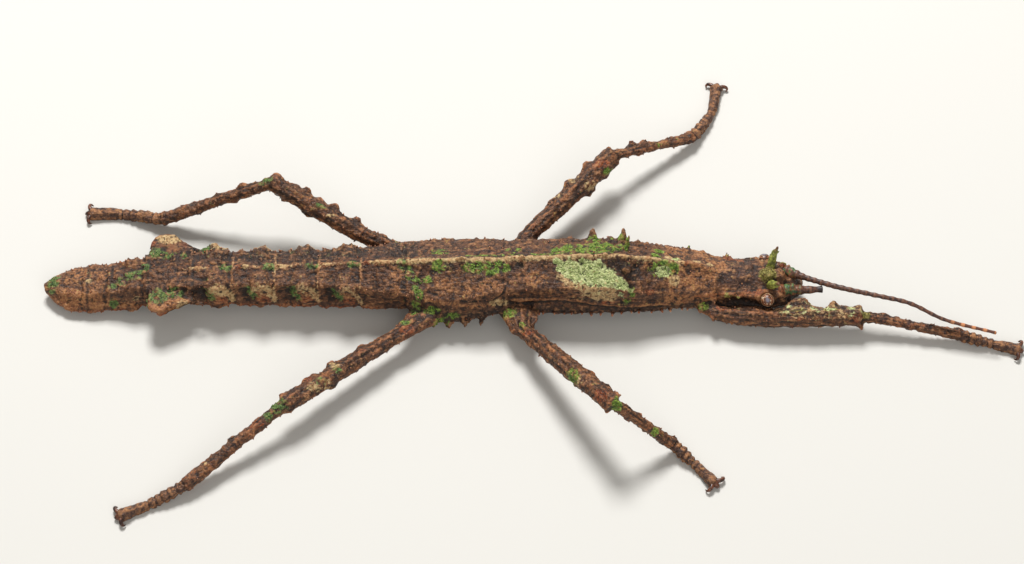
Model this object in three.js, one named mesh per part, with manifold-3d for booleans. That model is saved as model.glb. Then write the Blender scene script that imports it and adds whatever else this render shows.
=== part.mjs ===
// A wingless, bark-and-moss coloured stick insect, standing on a flat floor.
// Millimetres, +X towards the head, +Y towards the animal's left, +Z up, floor at Z = 0.
import * as THREE from 'three';
import { mergeVertices } from 'three/addons/utils/BufferGeometryUtils.js';
import Module from 'manifold-3d';

const wasm = await Module();
wasm.setup();

// ---------------------------------------------------------------------------
// Driving dimensions
// ---------------------------------------------------------------------------

// Clear slit between two neighbouring plates, and round an eye, a horn or an antenna.
const SEAM = 0.24;
const SOCKET_GAP = 0.14;

// The trunk's cross-section at each plate edge, from the tail tip to the neck.
// ridge: height of the keel down the middle of the back. keel: half width and height of the
// line where the back folds down into the side. flank: half width and height of the widest
// line of the side. belly: height of the underside. shift: how far the section sits to the left.
const TRUNK = [
  { x: -49.7, ridge: 1.75, keel: [0.25, 1.62], flank: [0.35, 1.3], belly: 1.0, shift: -0.3 },
  { x: -48.4, ridge: 2.2, keel: [1.0, 1.95], flank: [1.95, 1.0], belly: 0.6, shift: -0.3 },
  { x: -46.4, ridge: 2.5, keel: [1.65, 2.25], flank: [3.0, 0.85], belly: 0.45, shift: -0.3 },
  { x: -45.3, ridge: 2.7, keel: [1.8, 2.45], flank: [3.2, 0.75], belly: 0.4, shift: -0.25 },
  { x: -42.7, ridge: 3.05, keel: [1.8, 2.8], flank: [3.0, 0.9], belly: 0.45, shift: -0.1 },
  { x: -38.8, ridge: 3.9, keel: [1.85, 3.6], flank: [2.75, 1.5], belly: 0.6, shift: 0 },
  { x: -34.0, ridge: 4.65, keel: [2.1, 4.4], flank: [2.6, 1.6], belly: 0.7, shift: 0 },
  { x: -29.5, ridge: 4.92, keel: [2.15, 4.6], flank: [2.65, 1.7], belly: 0.8, shift: 0 },
  { x: -25.0, ridge: 5.1, keel: [2.15, 4.65], flank: [2.85, 1.75], belly: 0.85, shift: 0 },
  { x: -20.4, ridge: 5.38, keel: [2.25, 4.75], flank: [3.0, 1.8], belly: 0.9, shift: 0 },
  { x: -15.9, ridge: 5.8, keel: [2.6, 4.75], flank: [3.2, 1.9], belly: 0.9, shift: 0 },
  { x: -11.0, ridge: 6.2, keel: [3.3, 4.5], flank: [3.5, 2.1], belly: 0.9, shift: 0 },
  { x: -10.8, ridge: 6.2, keel: [3.4, 4.5], flank: [4.1, 2.1], belly: 0.9, shift: 0 },
  { x: -8.4, ridge: 6.38, keel: [3.8, 4.35], flank: [5.0, 1.95], belly: 0.9, shift: 0 },
  { x: -6.2, ridge: 6.5, keel: [3.95, 4.3], flank: [5.0, 1.95], belly: 0.9, shift: 0 },
  { x: -0.6, ridge: 6.67, keel: [3.2, 5.35], flank: [4.1, 2.5], belly: 0.9, shift: 0 },
  { x: 4.0, ridge: 6.9, keel: [3.12, 5.5], flank: [3.95, 1.9], belly: 0.85, shift: 0 },
  { x: 8.8, ridge: 7.3, keel: [3.2, 5.6], flank: [3.75, 1.8], belly: 0.85, shift: 0 },
  { x: 12.0, ridge: 7.15, keel: [3.18, 5.2], flank: [3.68, 1.8], belly: 0.85, shift: 0 },
  { x: 15.2, ridge: 6.55, keel: [3.08, 4.5], flank: [3.55, 1.8], belly: 0.9, shift: 0 },
  { x: 17.6, ridge: 6.0, keel: [2.92, 4.2], flank: [3.35, 1.85], belly: 0.95, shift: 0 },
  { x: 19.5, ridge: 5.75, keel: [2.8, 3.95], flank: [3.12, 1.9], belly: 1.0, shift: -0.05 },
  { x: 21.4, ridge: 4.95, keel: [2.6, 3.6], flank: [2.75, 2.0], belly: 1.05, shift: -0.15 },
];

// The head's cross-section in the same terms, from the neck to the mouth.
const HEAD = [
  { x: 21.4, ridge: 4.35, keel: [2.2, 3.45], flank: [2.3, 2.2], belly: 1.05, shift: -0.15 },
  { x: 23.0, ridge: 4.15, keel: [2.35, 3.35], flank: [2.45, 2.0], belly: 0.9, shift: -0.22 },
  { x: 25.0, ridge: 3.95, keel: [2.45, 3.3], flank: [2.5, 1.9], belly: 0.8, shift: -0.3 },
  { x: 26.9, ridge: 4.15, keel: [2.6, 3.35], flank: [2.6, 1.9], belly: 0.75, shift: -0.4 },
  { x: 28.2, ridge: 3.95, keel: [2.25, 3.3], flank: [2.35, 1.8], belly: 0.75, shift: -0.42 },
  { x: 29.3, ridge: 3.45, keel: [1.75, 2.95], flank: [1.85, 1.7], belly: 0.8, shift: -0.45 },
  { x: 30.2, ridge: 2.9, keel: [1.2, 2.5], flank: [1.35, 1.6], belly: 0.9, shift: -0.45 },
  { x: 30.8, ridge: 2.3, keel: [0.7, 2.1], flank: [0.8, 1.6], belly: 1.1, shift: -0.45 },
];

// Each plate of the trunk: its name, where it ends towards the tail, its rings of points along
// its length, the rise of the crescent lobes on its two keels, and the width of its side fringe.
const PLATES = [
  { name: 'abdomen_10', rear: -49.7, rings: 4, crest: 0, fringe: 0 },
  { name: 'abdomen_9', rear: -45.3, rings: 2, crest: 0, fringe: 0 },
  { name: 'abdomen_8', rear: -42.7, rings: 3, crest: 0.4, fringe: 0.5 },
  { name: 'abdomen_7', rear: -38.8, rings: 3, crest: 0.5, fringe: 0 },
  { name: 'abdomen_6', rear: -34.0, rings: 3, crest: 0.7, fringe: 0.6 },
  { name: 'abdomen_5', rear: -29.5, rings: 3, crest: 0.65, fringe: 0.2 },
  { name: 'abdomen_4', rear: -25.0, rings: 3, crest: 0.5, fringe: 0.1 },
  { name: 'abdomen_3', rear: -20.4, rings: 3, crest: 0.45, fringe: 0 },
  { name: 'abdomen_2', rear: -15.9, rings: 3, crest: 0.35, fringe: 0 },
  { name: 'metathorax', rear: -10.9, rings: 6, crest: 0, fringe: 0 },
  { name: 'mesothorax', rear: -0.6, rings: 8, crest: 0, fringe: 0 },
  { name: 'prothorax', rear: 17.6, rings: 3, crest: 0, fringe: 0 },
];
const NECK_X = 21.4;
const SECTION_SIDES = 16;
// How a section's outline bows between its named lines: each pair is the share of the way out
// and the share of the way down, over the shoulder, down the side and round the belly.
const SHOULDER_BOW = [[0.3, 0.42], [0.72, 0.74]];
const SIDE_BOW = [0.4, 0.45];
const BELLY_BOW = [[0.86, 0.62], [0.45, 0.96]];

// How much wider each belly ring stands at its rear edge than at its front edge, and where
// along a ring its lobes peak and how far they run to either side.
const PLATE_FLARE = 0.05;
const LOBE_PEAK = 2 / 3;
const LOBE_RUN = 0.3;

// Paired spines along the fold of the back: place along the body and length. They lean out and
// rise by these shares of their length, from a root sunk in the plate.
const KEEL_SPINE_SHAPE = { lean: 0.75, rise: 0.62, sink: 0.35, root: 0.24, stout: 0.22, rake: 0.1 };
const KEEL_SPINES = [
  { x: -8.2, length: 0.4 }, { x: -3.8, length: 0.4 }, { x: 6.2, length: 0.4 },
  { x: 8.6, length: 0.95 }, { x: 10.3, length: 0.45 }, { x: 11.8, length: 1.25 },
  { x: 13.3, length: 0.45 }, { x: 15.3, length: 0.5 }, { x: 19.0, length: 0.5 },
];
// Paired spines low on the side, between the legs.
const FLANK_SPINE_SHAPE = { sink: 0.4, root: 0.22, stout: 0.18, rake: 0.1, droop: 0.15 };
const FLANK_SPINES = [
  { x: -8.2, length: 1.3 }, { x: -6.9, length: 0.75 }, { x: -5.7, length: 0.5 },
  { x: -4.4, length: 0.75 }, { x: -2.9, length: 0.55 }, { x: 9.0, length: 0.25 },
  { x: 13.0, length: 0.25 },
];
// Small knobs on the middle ridge of the thorax, and the tall pair of horns behind the neck.
const RIDGE_KNOBS = [-5.4, 0.95, 7.2, 9.8];
const RIDGE_KNOB = { sink: 0.3, rise: 0.5, radius: 0.42, rake: 0.1 };
const BACK_HORN = { base: [12.0, 1.2, 6.2], tip: [12.4, 2.3, 7.9], radius: 0.6 };

// The leaf-like flaps on the sides of the seventh ring of the abdomen.
const SIDE_FLAP = { x: -36.4, halfLength: 2.4, reach: 5.4, height: 3.5, halfThick: 0.3, sink: 0.5 };

// The head's own furniture, about its midline at HEAD_SHIFT.
const HEAD_SHIFT = -0.4;
const EYE = { x: 26.95, spread: 2.72, height: 3.25, radius: 0.76 };
const HORN = {
  base: [27.35, 1.2, 3.7], bow: [27.62, 1.81, 4.92], tip: [28.05, 2.3, 5.95], radius: 0.42, taper: 0.78,
};
const HORN_SPIKE = { base: [27.75, 1.85, 4.7], tip: [28.5, 1.95, 5.25], radius: 0.2 };
// Rounded swellings, each with its centre and half sizes: the crest between the horns, the
// bulging face, the brows over the antenna roots and the mouthparts.
const CREST = { at: [26.75, 0, 3.95], half: [0.6, 1.0, 0.45] };
const FACE = { at: [28.2, 0, 3.55], half: [0.8, 0.85, 0.65] };
const BROW = { at: [28.7, 1.35, 3.1], half: [0.75, 0.62, 0.62] };
const MOUTHPART = { at: [30.3, 0.55, 1.6], half: [0.8, 0.45, 0.6] };
// Paired spines on the back edge of the head.
const HEAD_SPINES = [
  { base: [22.2, 1.9, 3.3], tip: [22.35, 2.6, 4.1] },
  { base: [23.2, 1.95, 3.3], tip: [23.35, 2.77, 4.26] },
];
const HEAD_SPINE_RADIUS = 0.42;

// Where each left antenna point stands, from its root to its tip; the right one is a broken stub.
const ANTENNA_LEFT = [
  [28.6, 0.95, 3.1], [31.1, -0.5, 3.55], [34.6, -1.8, 3.7], [38.3, -2.7, 3.6],
  [42.0, -3.55, 3.3], [45.7, -5.2, 2.65], [50.9, -6.5, 2.2],
];
const ANTENNA_RIGHT = [[28.6, -1.75, 3.1], [30.8, -1.85, 3.3], [32.8, -1.75, 3.25]];
const ANTENNA_RADIUS = { root: 0.44, shaft: 0.27, tip: 0.25 };
const ANTENNA_ROOT_LENGTH = [1.4, 2.6];

// Joints of each leg, hip to toe, and the half widths of its pieces. tall is a thigh's height
// over its width, and bend bows a thigh round the head or away from the side of the body.
const LEGS = [
  {
    name: 'leg_hind_right', coxa: [-7.9, -3.4, 2.3], hip: [-10.75, -5.95, 2.3],
    knee: [-23.6, -15.9, 3.4], ankle: [-33.67, -24.15, 1.05], mid: [-37.4, -26.05, 0.4],
    toe: [-40.24, -27.34, 0.4], thigh: 0.96, tall: 1, shin: 0.76, foot: 0.52,
  },
  {
    name: 'leg_hind_left', coxa: [-9.3, 4.45, 1.4], hip: [-12.0, 4.45, 1.3],
    bend: [-15.5, 5.2, 2.54], knee: [-25.49, 9.65, 6.5], ankle: [-37.69, 8.45, 1.1],
    mid: [-41.9, 9.55, 0.4], toe: [-45.63, 9.66, 0.4], thigh: 0.95, tall: 1, shin: 0.74,
    foot: 0.54,
  },
  {
    name: 'leg_mid_right', coxa: [1.0, -2.9, 2.4], hip: [1.1, -6.4, 2.6],
    knee: [10.35, -18.15, 7.6], ankle: [16.71, -19.35, 1.15], mid: [18.9, -21.3, 0.4],
    toe: [20.95, -23.6, 0.4], thigh: 1.02, tall: 1, shin: 0.7, foot: 0.5,
  },
  {
    name: 'leg_mid_left', coxa: [1.0, 2.9, 2.4], hip: [1.6, 5.1, 2.9],
    knee: [10.96, 14.74, 4.2], ankle: [19.8, 19.23, 1.0], mid: [21.9, 22.8, 0.4],
    toe: [22.67, 26.41, 0.4], thigh: 1.06, tall: 1, shin: 0.62, foot: 0.48,
  },
  {
    name: 'leg_fore_right', coxa: [19.4, -2.2, 2.1], hip: [21.9, -3.9, 1.8],
    bend: [26.2, -4.45, 1.85], knee: [36.97, -4.25, 2.0], ankle: [47.41, -6.03, 1.0],
    mid: [50.5, -6.7, 0.4], toe: [53.47, -7.52, 0.4], thigh: 0.9, tall: 1.25, shin: 0.62,
    foot: 0.5,
  },
];

// The bow of the folded knee, from points set off from the knee, and how it joins the shin.
const FOLD_BOW = [[-0.5, 0.15, -0.2], [-0.75, 0.45, -0.95]];
const FOLD_BOW_WIDTH = 0.85;
const FOLD_JOIN = 0.35;
// The left front leg is held folded back along the flank, its shin tucked under the thigh.
const FOLDED_LEG = {
  name: 'leg_fore_left', coxa: [19.6, 2.0, 1.9], hip: [18.9, 3.75, 1.4], bend: [12.0, 4.5, 1.5],
  knee: [5.6, 4.65, 1.85], shinStart: [5.7, 5.25, 0.64], ankle: [13.6, 5.2, 0.62],
  mid: [16.2, 5.1, 0.36], toe: [18.2, 4.7, 0.36], thigh: 0.62, shin: 0.5, foot: 0.44,
};

const BARK = { color: 0x6b4632, roughness: 0.85, metalness: 0 };
const DARK_BARK = { color: 0x4a3226, roughness: 0.85, metalness: 0 };
const RUST_BARK = { color: 0x80503a, roughness: 0.8, metalness: 0 };
const HORN_GREEN = { color: 0x8f9a3c, roughness: 0.7, metalness: 0 };
const EYE_SHELL = { color: 0xb79a74, roughness: 0.25, metalness: 0 };

// ---------------------------------------------------------------------------
// Shared geometry helpers
// ---------------------------------------------------------------------------

const SPIKE_SIDES = 5;
const PAD_SEGMENTS = [8, 3];
const UP = new THREE.Vector3(0, 0, 1);
const FORWARD = new THREE.Vector3(1, 0, 0);
const vector = (list) => new THREE.Vector3(...list);

// A closed three.js geometry as a solid that can be joined and cut.
function solidFrom(geometry) {
  geometry.deleteAttribute('normal');
  geometry.deleteAttribute('uv');
  const merged = mergeVertices(geometry, 1e-5);
  return new wasm.Manifold(new wasm.Mesh({
    numProp: 3,
    vertProperties: new Float32Array(merged.attributes.position.array),
    triVerts: new Uint32Array(merged.index.array),
  }));
}

// A solid back as a three.js geometry.
function geometryFrom(solid) {
  const mesh = solid.getMesh();
  const geometry = new THREE.BufferGeometry();
  geometry.setAttribute('position', new THREE.BufferAttribute(mesh.vertProperties, 3));
  geometry.setIndex(new THREE.BufferAttribute(mesh.triVerts, 1));
  geometry.computeVertexNormals();
  return geometry;
}

// A closed cylinder whose rings are moved to wherever place(along, angle, rim) says:
// along runs 0 to 1, angle 0 is the top, and rim is 0 at a cap's centre and 1 on the side.
function loft(sides, rings, place) {
  const geometry = new THREE.CylinderGeometry(1, 1, 1, sides, rings);
  const position = geometry.attributes.position;
  const spot = new THREE.Vector3();
  for (let i = 0; i < position.count; i += 1) {
    spot.fromBufferAttribute(position, i);
    const rim = Math.hypot(spot.x, spot.z);
    const angle = Math.atan2(spot.x, spot.z);
    place(spot.y + 0.5, angle, rim, spot);
    position.setXYZ(i, spot.x, spot.y, spot.z);
  }
  return solidFrom(geometry);
}

// A cone from base to tip.
function spike(base, tip, radius) {
  const axis = tip.clone().sub(base);
  const cone = new THREE.ConeGeometry(radius, axis.length(), SPIKE_SIDES, 1);
  cone.translate(0, axis.length() / 2, 0);
  const y = axis.clone().normalize();
  const hint = Math.abs(y.z) > 0.9 ? FORWARD : UP;
  const x = new THREE.Vector3().crossVectors(y, hint).normalize();
  const z = new THREE.Vector3().crossVectors(x, y);
  cone.applyMatrix4(new THREE.Matrix4().makeBasis(x, y, z).setPosition(base));
  return solidFrom(cone);
}

// A rounded pad with the given half sizes along three axes.
function pad(centre, halfSizes, turn = null) {
  const ball = new THREE.SphereGeometry(1, ...PAD_SEGMENTS);
  const matrix = new THREE.Matrix4().makeScale(...halfSizes);
  if (turn) {
    matrix.premultiply(turn);
  }
  ball.applyMatrix4(matrix.setPosition(centre));
  return solidFrom(ball);
}

// Keeps the side of the solid that lies behind the plane, half a seam short of it.
function cutBefore(solid, point, normal, gap = SEAM) {
  const away = normal.clone().negate();
  return solid.trimByPlane(away.toArray(), away.dot(point) + gap / 2);
}

// Keeps the side of the solid beyond the plane, half a seam past it.
function cutAfter(solid, point, normal, gap = SEAM) {
  return solid.trimByPlane(normal.toArray(), normal.dot(point) + gap / 2);
}

// ---------------------------------------------------------------------------
// Trunk and head: a roof-backed section that changes from plate to plate
// ---------------------------------------------------------------------------

// The named sizes of a section at any place along the table.
function sectionAt(table, x) {
  const last = table.length - 2;
  const found = table.findIndex((row, i) => i <= last && x <= table[i + 1].x);
  const index = found < 0 ? last : found;
  const [rear, front] = [table[index], table[index + 1]];
  const share = THREE.MathUtils.clamp((x - rear.x) / (front.x - rear.x), 0, 1);
  const mix = (a, b) => THREE.MathUtils.lerp(a, b, share);
  return {
    ridge: mix(rear.ridge, front.ridge),
    keel: [mix(rear.keel[0], front.keel[0]), mix(rear.keel[1], front.keel[1])],
    flank: [mix(rear.flank[0], front.flank[0]), mix(rear.flank[1], front.flank[1])],
    belly: mix(rear.belly, front.belly),
    shift: mix(rear.shift, front.shift),
  };
}

// Half of the section's outline, from the ridge over the keel and the flank to the belly.
function halfOutline(section, grow) {
  const { ridge, keel, flank, belly } = section;
  const mix = THREE.MathUtils.lerp;
  const [keelY, keelZ] = [keel[0] + grow, keel[1] + grow];
  const [flankY, flankZ] = [flank[0] + grow, flank[1]];
  const top = ridge + grow;
  const bottom = belly - grow;
  return [
    [0, top],
    ...SHOULDER_BOW.map(([out, down]) => [keelY * out, mix(top, keelZ, down)]),
    [keelY, keelZ],
    [mix(keelY, flankY, SIDE_BOW[0]), mix(keelZ, flankZ, SIDE_BOW[1])],
    [flankY, flankZ],
    ...BELLY_BOW.map(([out, down]) => [flankY * out, mix(flankZ, bottom, down)]),
    [0, bottom],
  ];
}

// One length of the trunk or head, grown outwards by `grow` where a neighbour is cut clear of it.
function plateSolid(table, rearX, frontX, rings, options = {}) {
  const { flare = 0, grow = 0, crest = 0, fringe = 0 } = options;
  return loft(SECTION_SIDES, rings, (along, angle, rim, spot) => {
    const x = THREE.MathUtils.lerp(rearX, frontX, along);
    const section = sectionAt(table, x);
    const lobe = Math.max(0, 1 - Math.abs(along - LOBE_PEAK) / LOBE_RUN);
    section.keel[1] += crest * lobe;
    section.flank[0] += fringe * lobe;
    const outline = halfOutline(section, grow);
    const step = Math.round((Math.abs(angle) / Math.PI) * (outline.length - 1));
    const side = angle < 0 ? 1 : -1;
    const swell = 1 + flare * (0.5 - along);
    const middle = (section.ridge + section.belly) / 2;
    const [y, z] = outline[rim > 0.5 ? step : 0];
    const reach = rim > 0.5 ? 1 : 0;
    spot.set(x, section.shift + side * y * swell * reach, middle + (z - middle) * swell * reach);
  });
}

// A pair of solids, one on each side, added to a plate.
function addPair(solid, make) {
  return solid.add(make(1)).add(make(-1));
}

// A spine that stands out from the fold of the back.
function keelSpine(spine, side) {
  const { keel, shift } = sectionAt(TRUNK, spine.x);
  const { lean, rise, sink, root, stout, rake } = KEEL_SPINE_SHAPE;
  const length = spine.length + sink;
  const base = new THREE.Vector3(
    spine.x - rake, shift + side * (keel[0] - sink), keel[1] - sink * rise);
  const tip = base.clone().add(new THREE.Vector3(rake, side * lean * length, rise * length));
  return spike(base, tip, root + stout * spine.length);
}

// A spine that stands out low on the side.
function flankSpine(spine, side) {
  const { flank, shift } = sectionAt(TRUNK, spine.x);
  const { sink, root, stout, rake, droop } = FLANK_SPINE_SHAPE;
  const base = new THREE.Vector3(spine.x, shift + side * (flank[0] - sink), flank[1] - rake);
  const tip = base.clone().add(new THREE.Vector3(-rake, side * (spine.length + sink), -droop));
  return spike(base, tip, root + stout * spine.length);
}

// A knob on the middle ridge.
function ridgeKnob(x) {
  const { ridge } = sectionAt(TRUNK, x);
  const { sink, rise, radius, rake } = RIDGE_KNOB;
  return spike(vector([x - rake, 0, ridge - sink]), vector([x, 0, ridge + rise]), radius);
}

// One of the tall pair of horns behind the neck.
function backHorn(side) {
  const { base, tip, radius } = BACK_HORN;
  const mirrored = ([x, y, z]) => new THREE.Vector3(x, side * y, z);
  return spike(mirrored(base), mirrored(tip), radius);
}

// A leaf-like flap on the side of a ring of the abdomen, drooping from the fold of the back.
function sideFlap(side) {
  const { x, halfLength, reach, height, halfThick, sink } = SIDE_FLAP;
  const { keel } = sectionAt(TRUNK, x);
  const inner = new THREE.Vector3(x, side * (keel[0] - sink), keel[1] - 0.2);
  const outer = new THREE.Vector3(x, side * reach, height);
  const out = outer.clone().sub(inner).normalize();
  const turn = new THREE.Matrix4().makeBasis(
    FORWARD, out, new THREE.Vector3().crossVectors(FORWARD, out));
  const centre = inner.clone().lerp(outer, 0.5);
  return pad(centre, [halfLength, inner.distanceTo(outer) / 2, halfThick], turn);
}

// A trunk plate with all that grows from it.
function trunkPlate(index) {
  const plate = PLATES[index];
  const front = index + 1 < PLATES.length ? PLATES[index + 1].rear : NECK_X;
  const isRing = plate.name.startsWith('abdomen');
  const rearX = index === 0 ? plate.rear : plate.rear + SEAM / 2;
  const frontX = front - SEAM / 2;
  const inside = (x) => x > plate.rear && x < front;
  const { crest, fringe } = plate;
  let solid = plateSolid(TRUNK, rearX, frontX, plate.rings, {
    flare: isRing ? PLATE_FLARE : 0, crest, fringe,
  });
  for (const spine of KEEL_SPINES.filter((each) => inside(each.x))) {
    solid = addPair(solid, (side) => keelSpine(spine, side));
  }
  for (const spine of FLANK_SPINES.filter((each) => inside(each.x))) {
    solid = addPair(solid, (side) => flankSpine(spine, side));
  }
  for (const x of RIDGE_KNOBS.filter(inside)) {
    solid = solid.add(ridgeKnob(x));
  }
  if (inside(SIDE_FLAP.x)) {
    solid = addPair(solid, sideFlap);
  }
  if (inside(BACK_HORN.base[0])) {
    solid = addPair(solid, backHorn);
  }
  // Whatever a lobe or spine would reach over a neighbour is trimmed at the plate's own edges.
  solid = cutAfter(solid, new THREE.Vector3(plate.rear, 0, 0), FORWARD, index === 0 ? 0 : SEAM);
  return cutBefore(solid, new THREE.Vector3(front, 0, 0), FORWARD);
}

// ---------------------------------------------------------------------------
// Limbs: ribbed tubes along a line, mitred at each joint
// ---------------------------------------------------------------------------

// The facets of a ribbed limb tube, and of a plain one.
const RIB_DEPTH = 0.09;
const ribbed = (rings, tall = 1) => ({ sides: 8, rings, ribs: 4, ribDepth: RIB_DEPTH, tall });
const plain = (sides, rings) => ({ sides, rings, ribs: 0, ribDepth: 0, tall: 1 });

// A tube along a curve. half(along) gives its half width, tall its height over its width.
function tube(points, half, { sides, rings, ribs, ribDepth, tall }) {
  const curve = points.length > 2
    ? new THREE.CatmullRomCurve3(points.map((point) => point.clone()), false, 'centripetal')
    : new THREE.LineCurve3(points[0], points[1]);
  return loft(sides, rings, (along, angle, rim, spot) => {
    const tangent = curve.getTangentAt(along);
    const across = new THREE.Vector3().crossVectors(tangent, UP).normalize();
    const upright = new THREE.Vector3().crossVectors(across, tangent);
    const reach = rim * half(along) * (1 + ribDepth * Math.cos(ribs * angle));
    spot.copy(curve.getPointAt(along))
      .addScaledVector(across, Math.sin(angle) * reach)
      .addScaledVector(upright, Math.cos(angle) * reach * tall);
  });
}

// The unit direction from one point to another.
const heading = (from, to) => to.clone().sub(from).normalize();
// The plane that halves the bend where one limb piece meets the next.
const mitre = (before, joint, after) => heading(before, joint).add(heading(joint, after)).normalize();
// A point pushed past the end of a limb piece, so that the mitre cuts it clean.
const overrun = (from, to, extra) => to.clone().addScaledVector(heading(from, to), extra);

// Half width of a thigh: slim at the hip, swollen past the middle, flared at the knee.
const THIGH_FORM = { hip: 0.82, swell: 0.22, peak: 0.75, flare: 0.12, flareFrom: 0.82 };
const thighHalf = (size) => (along) => size * (THIGH_FORM.hip
  + THIGH_FORM.swell * Math.sin(along * Math.PI * THIGH_FORM.peak)
  + THIGH_FORM.flare * THREE.MathUtils.smoothstep(along, THIGH_FORM.flareFrom, 1));
// Half width of a shin: thick below the knee, waisted, thick again at the ankle.
const SHIN_FORM = { knee: 0.98, waist: 0.22, ankle: 0.12 };
const shinHalf = (size) => (along) => size * (SHIN_FORM.knee
  - SHIN_FORM.waist * Math.sin(along * Math.PI) + SHIN_FORM.ankle * along);
// Half width of a foot: four short beads, then a long joint that widens to the toe.
const FOOT_FORM = { beads: 4, beadEnd: 0.55, bead: 0.86, beadSwell: 0.14, long: 0.78, toe: 0.32 };
function footHalf(size) {
  const { beads, beadEnd, bead, beadSwell, long, toe } = FOOT_FORM;
  return (along) => (along < beadEnd
    ? size * (bead - beadSwell * Math.cos((along / beadEnd) * beads * 2 * Math.PI))
    : size * (long + toe * ((along - beadEnd) / (1 - beadEnd))));
}

// Lobes on a thigh and a shin: share of the length, which edge and size.
const LOBE = { halfThick: 0.28, height: 0.8, lift: 0.35, sink: 0.75 };
const THIGH_LOBES = [
  { along: 0.54, edge: 1, size: 0.8 }, { along: 0.8, edge: 1, size: 0.75 },
  { along: 0.6, edge: -1, size: 0.8 }, { along: 0.84, edge: -1, size: 0.55 },
];
const SHIN_LOBES = [{ along: 0.18, edge: 1, size: 0.5 }, { along: 0.34, edge: 1, size: 0.45 }];
// The spines either side of a knee, and the two hooked claws of a foot.
const KNEE_SPINE = { back: 1.0, length: 0.95, root: 0.6, splay: 0.4, flare: 0.45, radius: 0.42 };
const CLAW = {
  radius: 0.32, taper: 0.6, root: [-0.25, 0.15], elbow: [0.1, 0.85], hook: [-0.35, 0.3], dip: 0.1,
};
// How far limb pieces run past their mitred ends before they are cut.
const HIP_OVERRUN = 0.6;
const KNEE_OVERRUN = 0.8;
// Where a thigh with no bend of its own takes its middle point, as a share of its length.
const THIGH_BEND = 0.35;

// Adds flat lobes along the upper outer edges of a limb piece.
function addLobes(solid, from, to, half, lobes, side) {
  const direction = heading(from, to);
  const across = new THREE.Vector3().crossVectors(direction, UP).normalize();
  const upright = new THREE.Vector3().crossVectors(across, direction);
  let result = solid;
  for (const lobe of lobes) {
    const out = across.clone().multiplyScalar(side * lobe.edge)
      .addScaledVector(upright, LOBE.lift).normalize();
    const centre = from.clone().lerp(to, lobe.along)
      .addScaledVector(out, half(lobe.along) * LOBE.sink);
    const turn = new THREE.Matrix4().makeBasis(
      direction, out, new THREE.Vector3().crossVectors(direction, out));
    result = result.add(pad(centre, [lobe.size, lobe.size * LOBE.height, LOBE.halfThick], turn));
  }
  return result;
}

// The two spines at the end of a thigh, either side of the knee.
function addKneeSpines(solid, hip, knee, size) {
  const direction = heading(hip, knee);
  const across = new THREE.Vector3().crossVectors(direction, UP).normalize();
  let result = solid;
  for (const side of [1, -1]) {
    const root = knee.clone().addScaledVector(direction, -KNEE_SPINE.back)
      .addScaledVector(across, side * size * KNEE_SPINE.root);
    const tip = root.clone().addScaledVector(direction, KNEE_SPINE.length)
      .addScaledVector(across, side * (size * KNEE_SPINE.splay + KNEE_SPINE.flare));
    result = result.add(spike(root, tip, KNEE_SPINE.radius));
  }
  return result;
}

// A foot: beaded tube, sole ground flat on the floor, and two hooked claws.
function foot(leg, ankle, mid, toe, ankleNormal) {
  const start = overrun(mid, ankle, HIP_OVERRUN);
  let solid = tube([start, ankle, mid, toe], footHalf(leg.foot), {
    sides: 6, rings: 9, ribs: 3, ribDepth: RIB_DEPTH / 2, tall: 1,
  });
  const forward = heading(mid, toe);
  const across = new THREE.Vector3().crossVectors(forward, UP).normalize();
  for (const side of [1, -1]) {
    const step = (from, [ahead, out], rise) => from.clone().addScaledVector(forward, ahead)
      .addScaledVector(across, side * out).addScaledVector(UP, rise);
    const root = step(toe, CLAW.root, 0);
    const elbow = step(toe, CLAW.elbow, CLAW.dip);
    const tip = step(elbow, CLAW.hook, -CLAW.dip);
    const half = (along) => CLAW.radius * (1 - CLAW.taper * along);
    solid = solid.add(tube([root, elbow, tip], half, plain(4, 2)));
  }
  solid = cutAfter(solid, ankle, ankleNormal);
  return cutAfter(solid, new THREE.Vector3(0, 0, 0), UP, 0);
}

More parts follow.
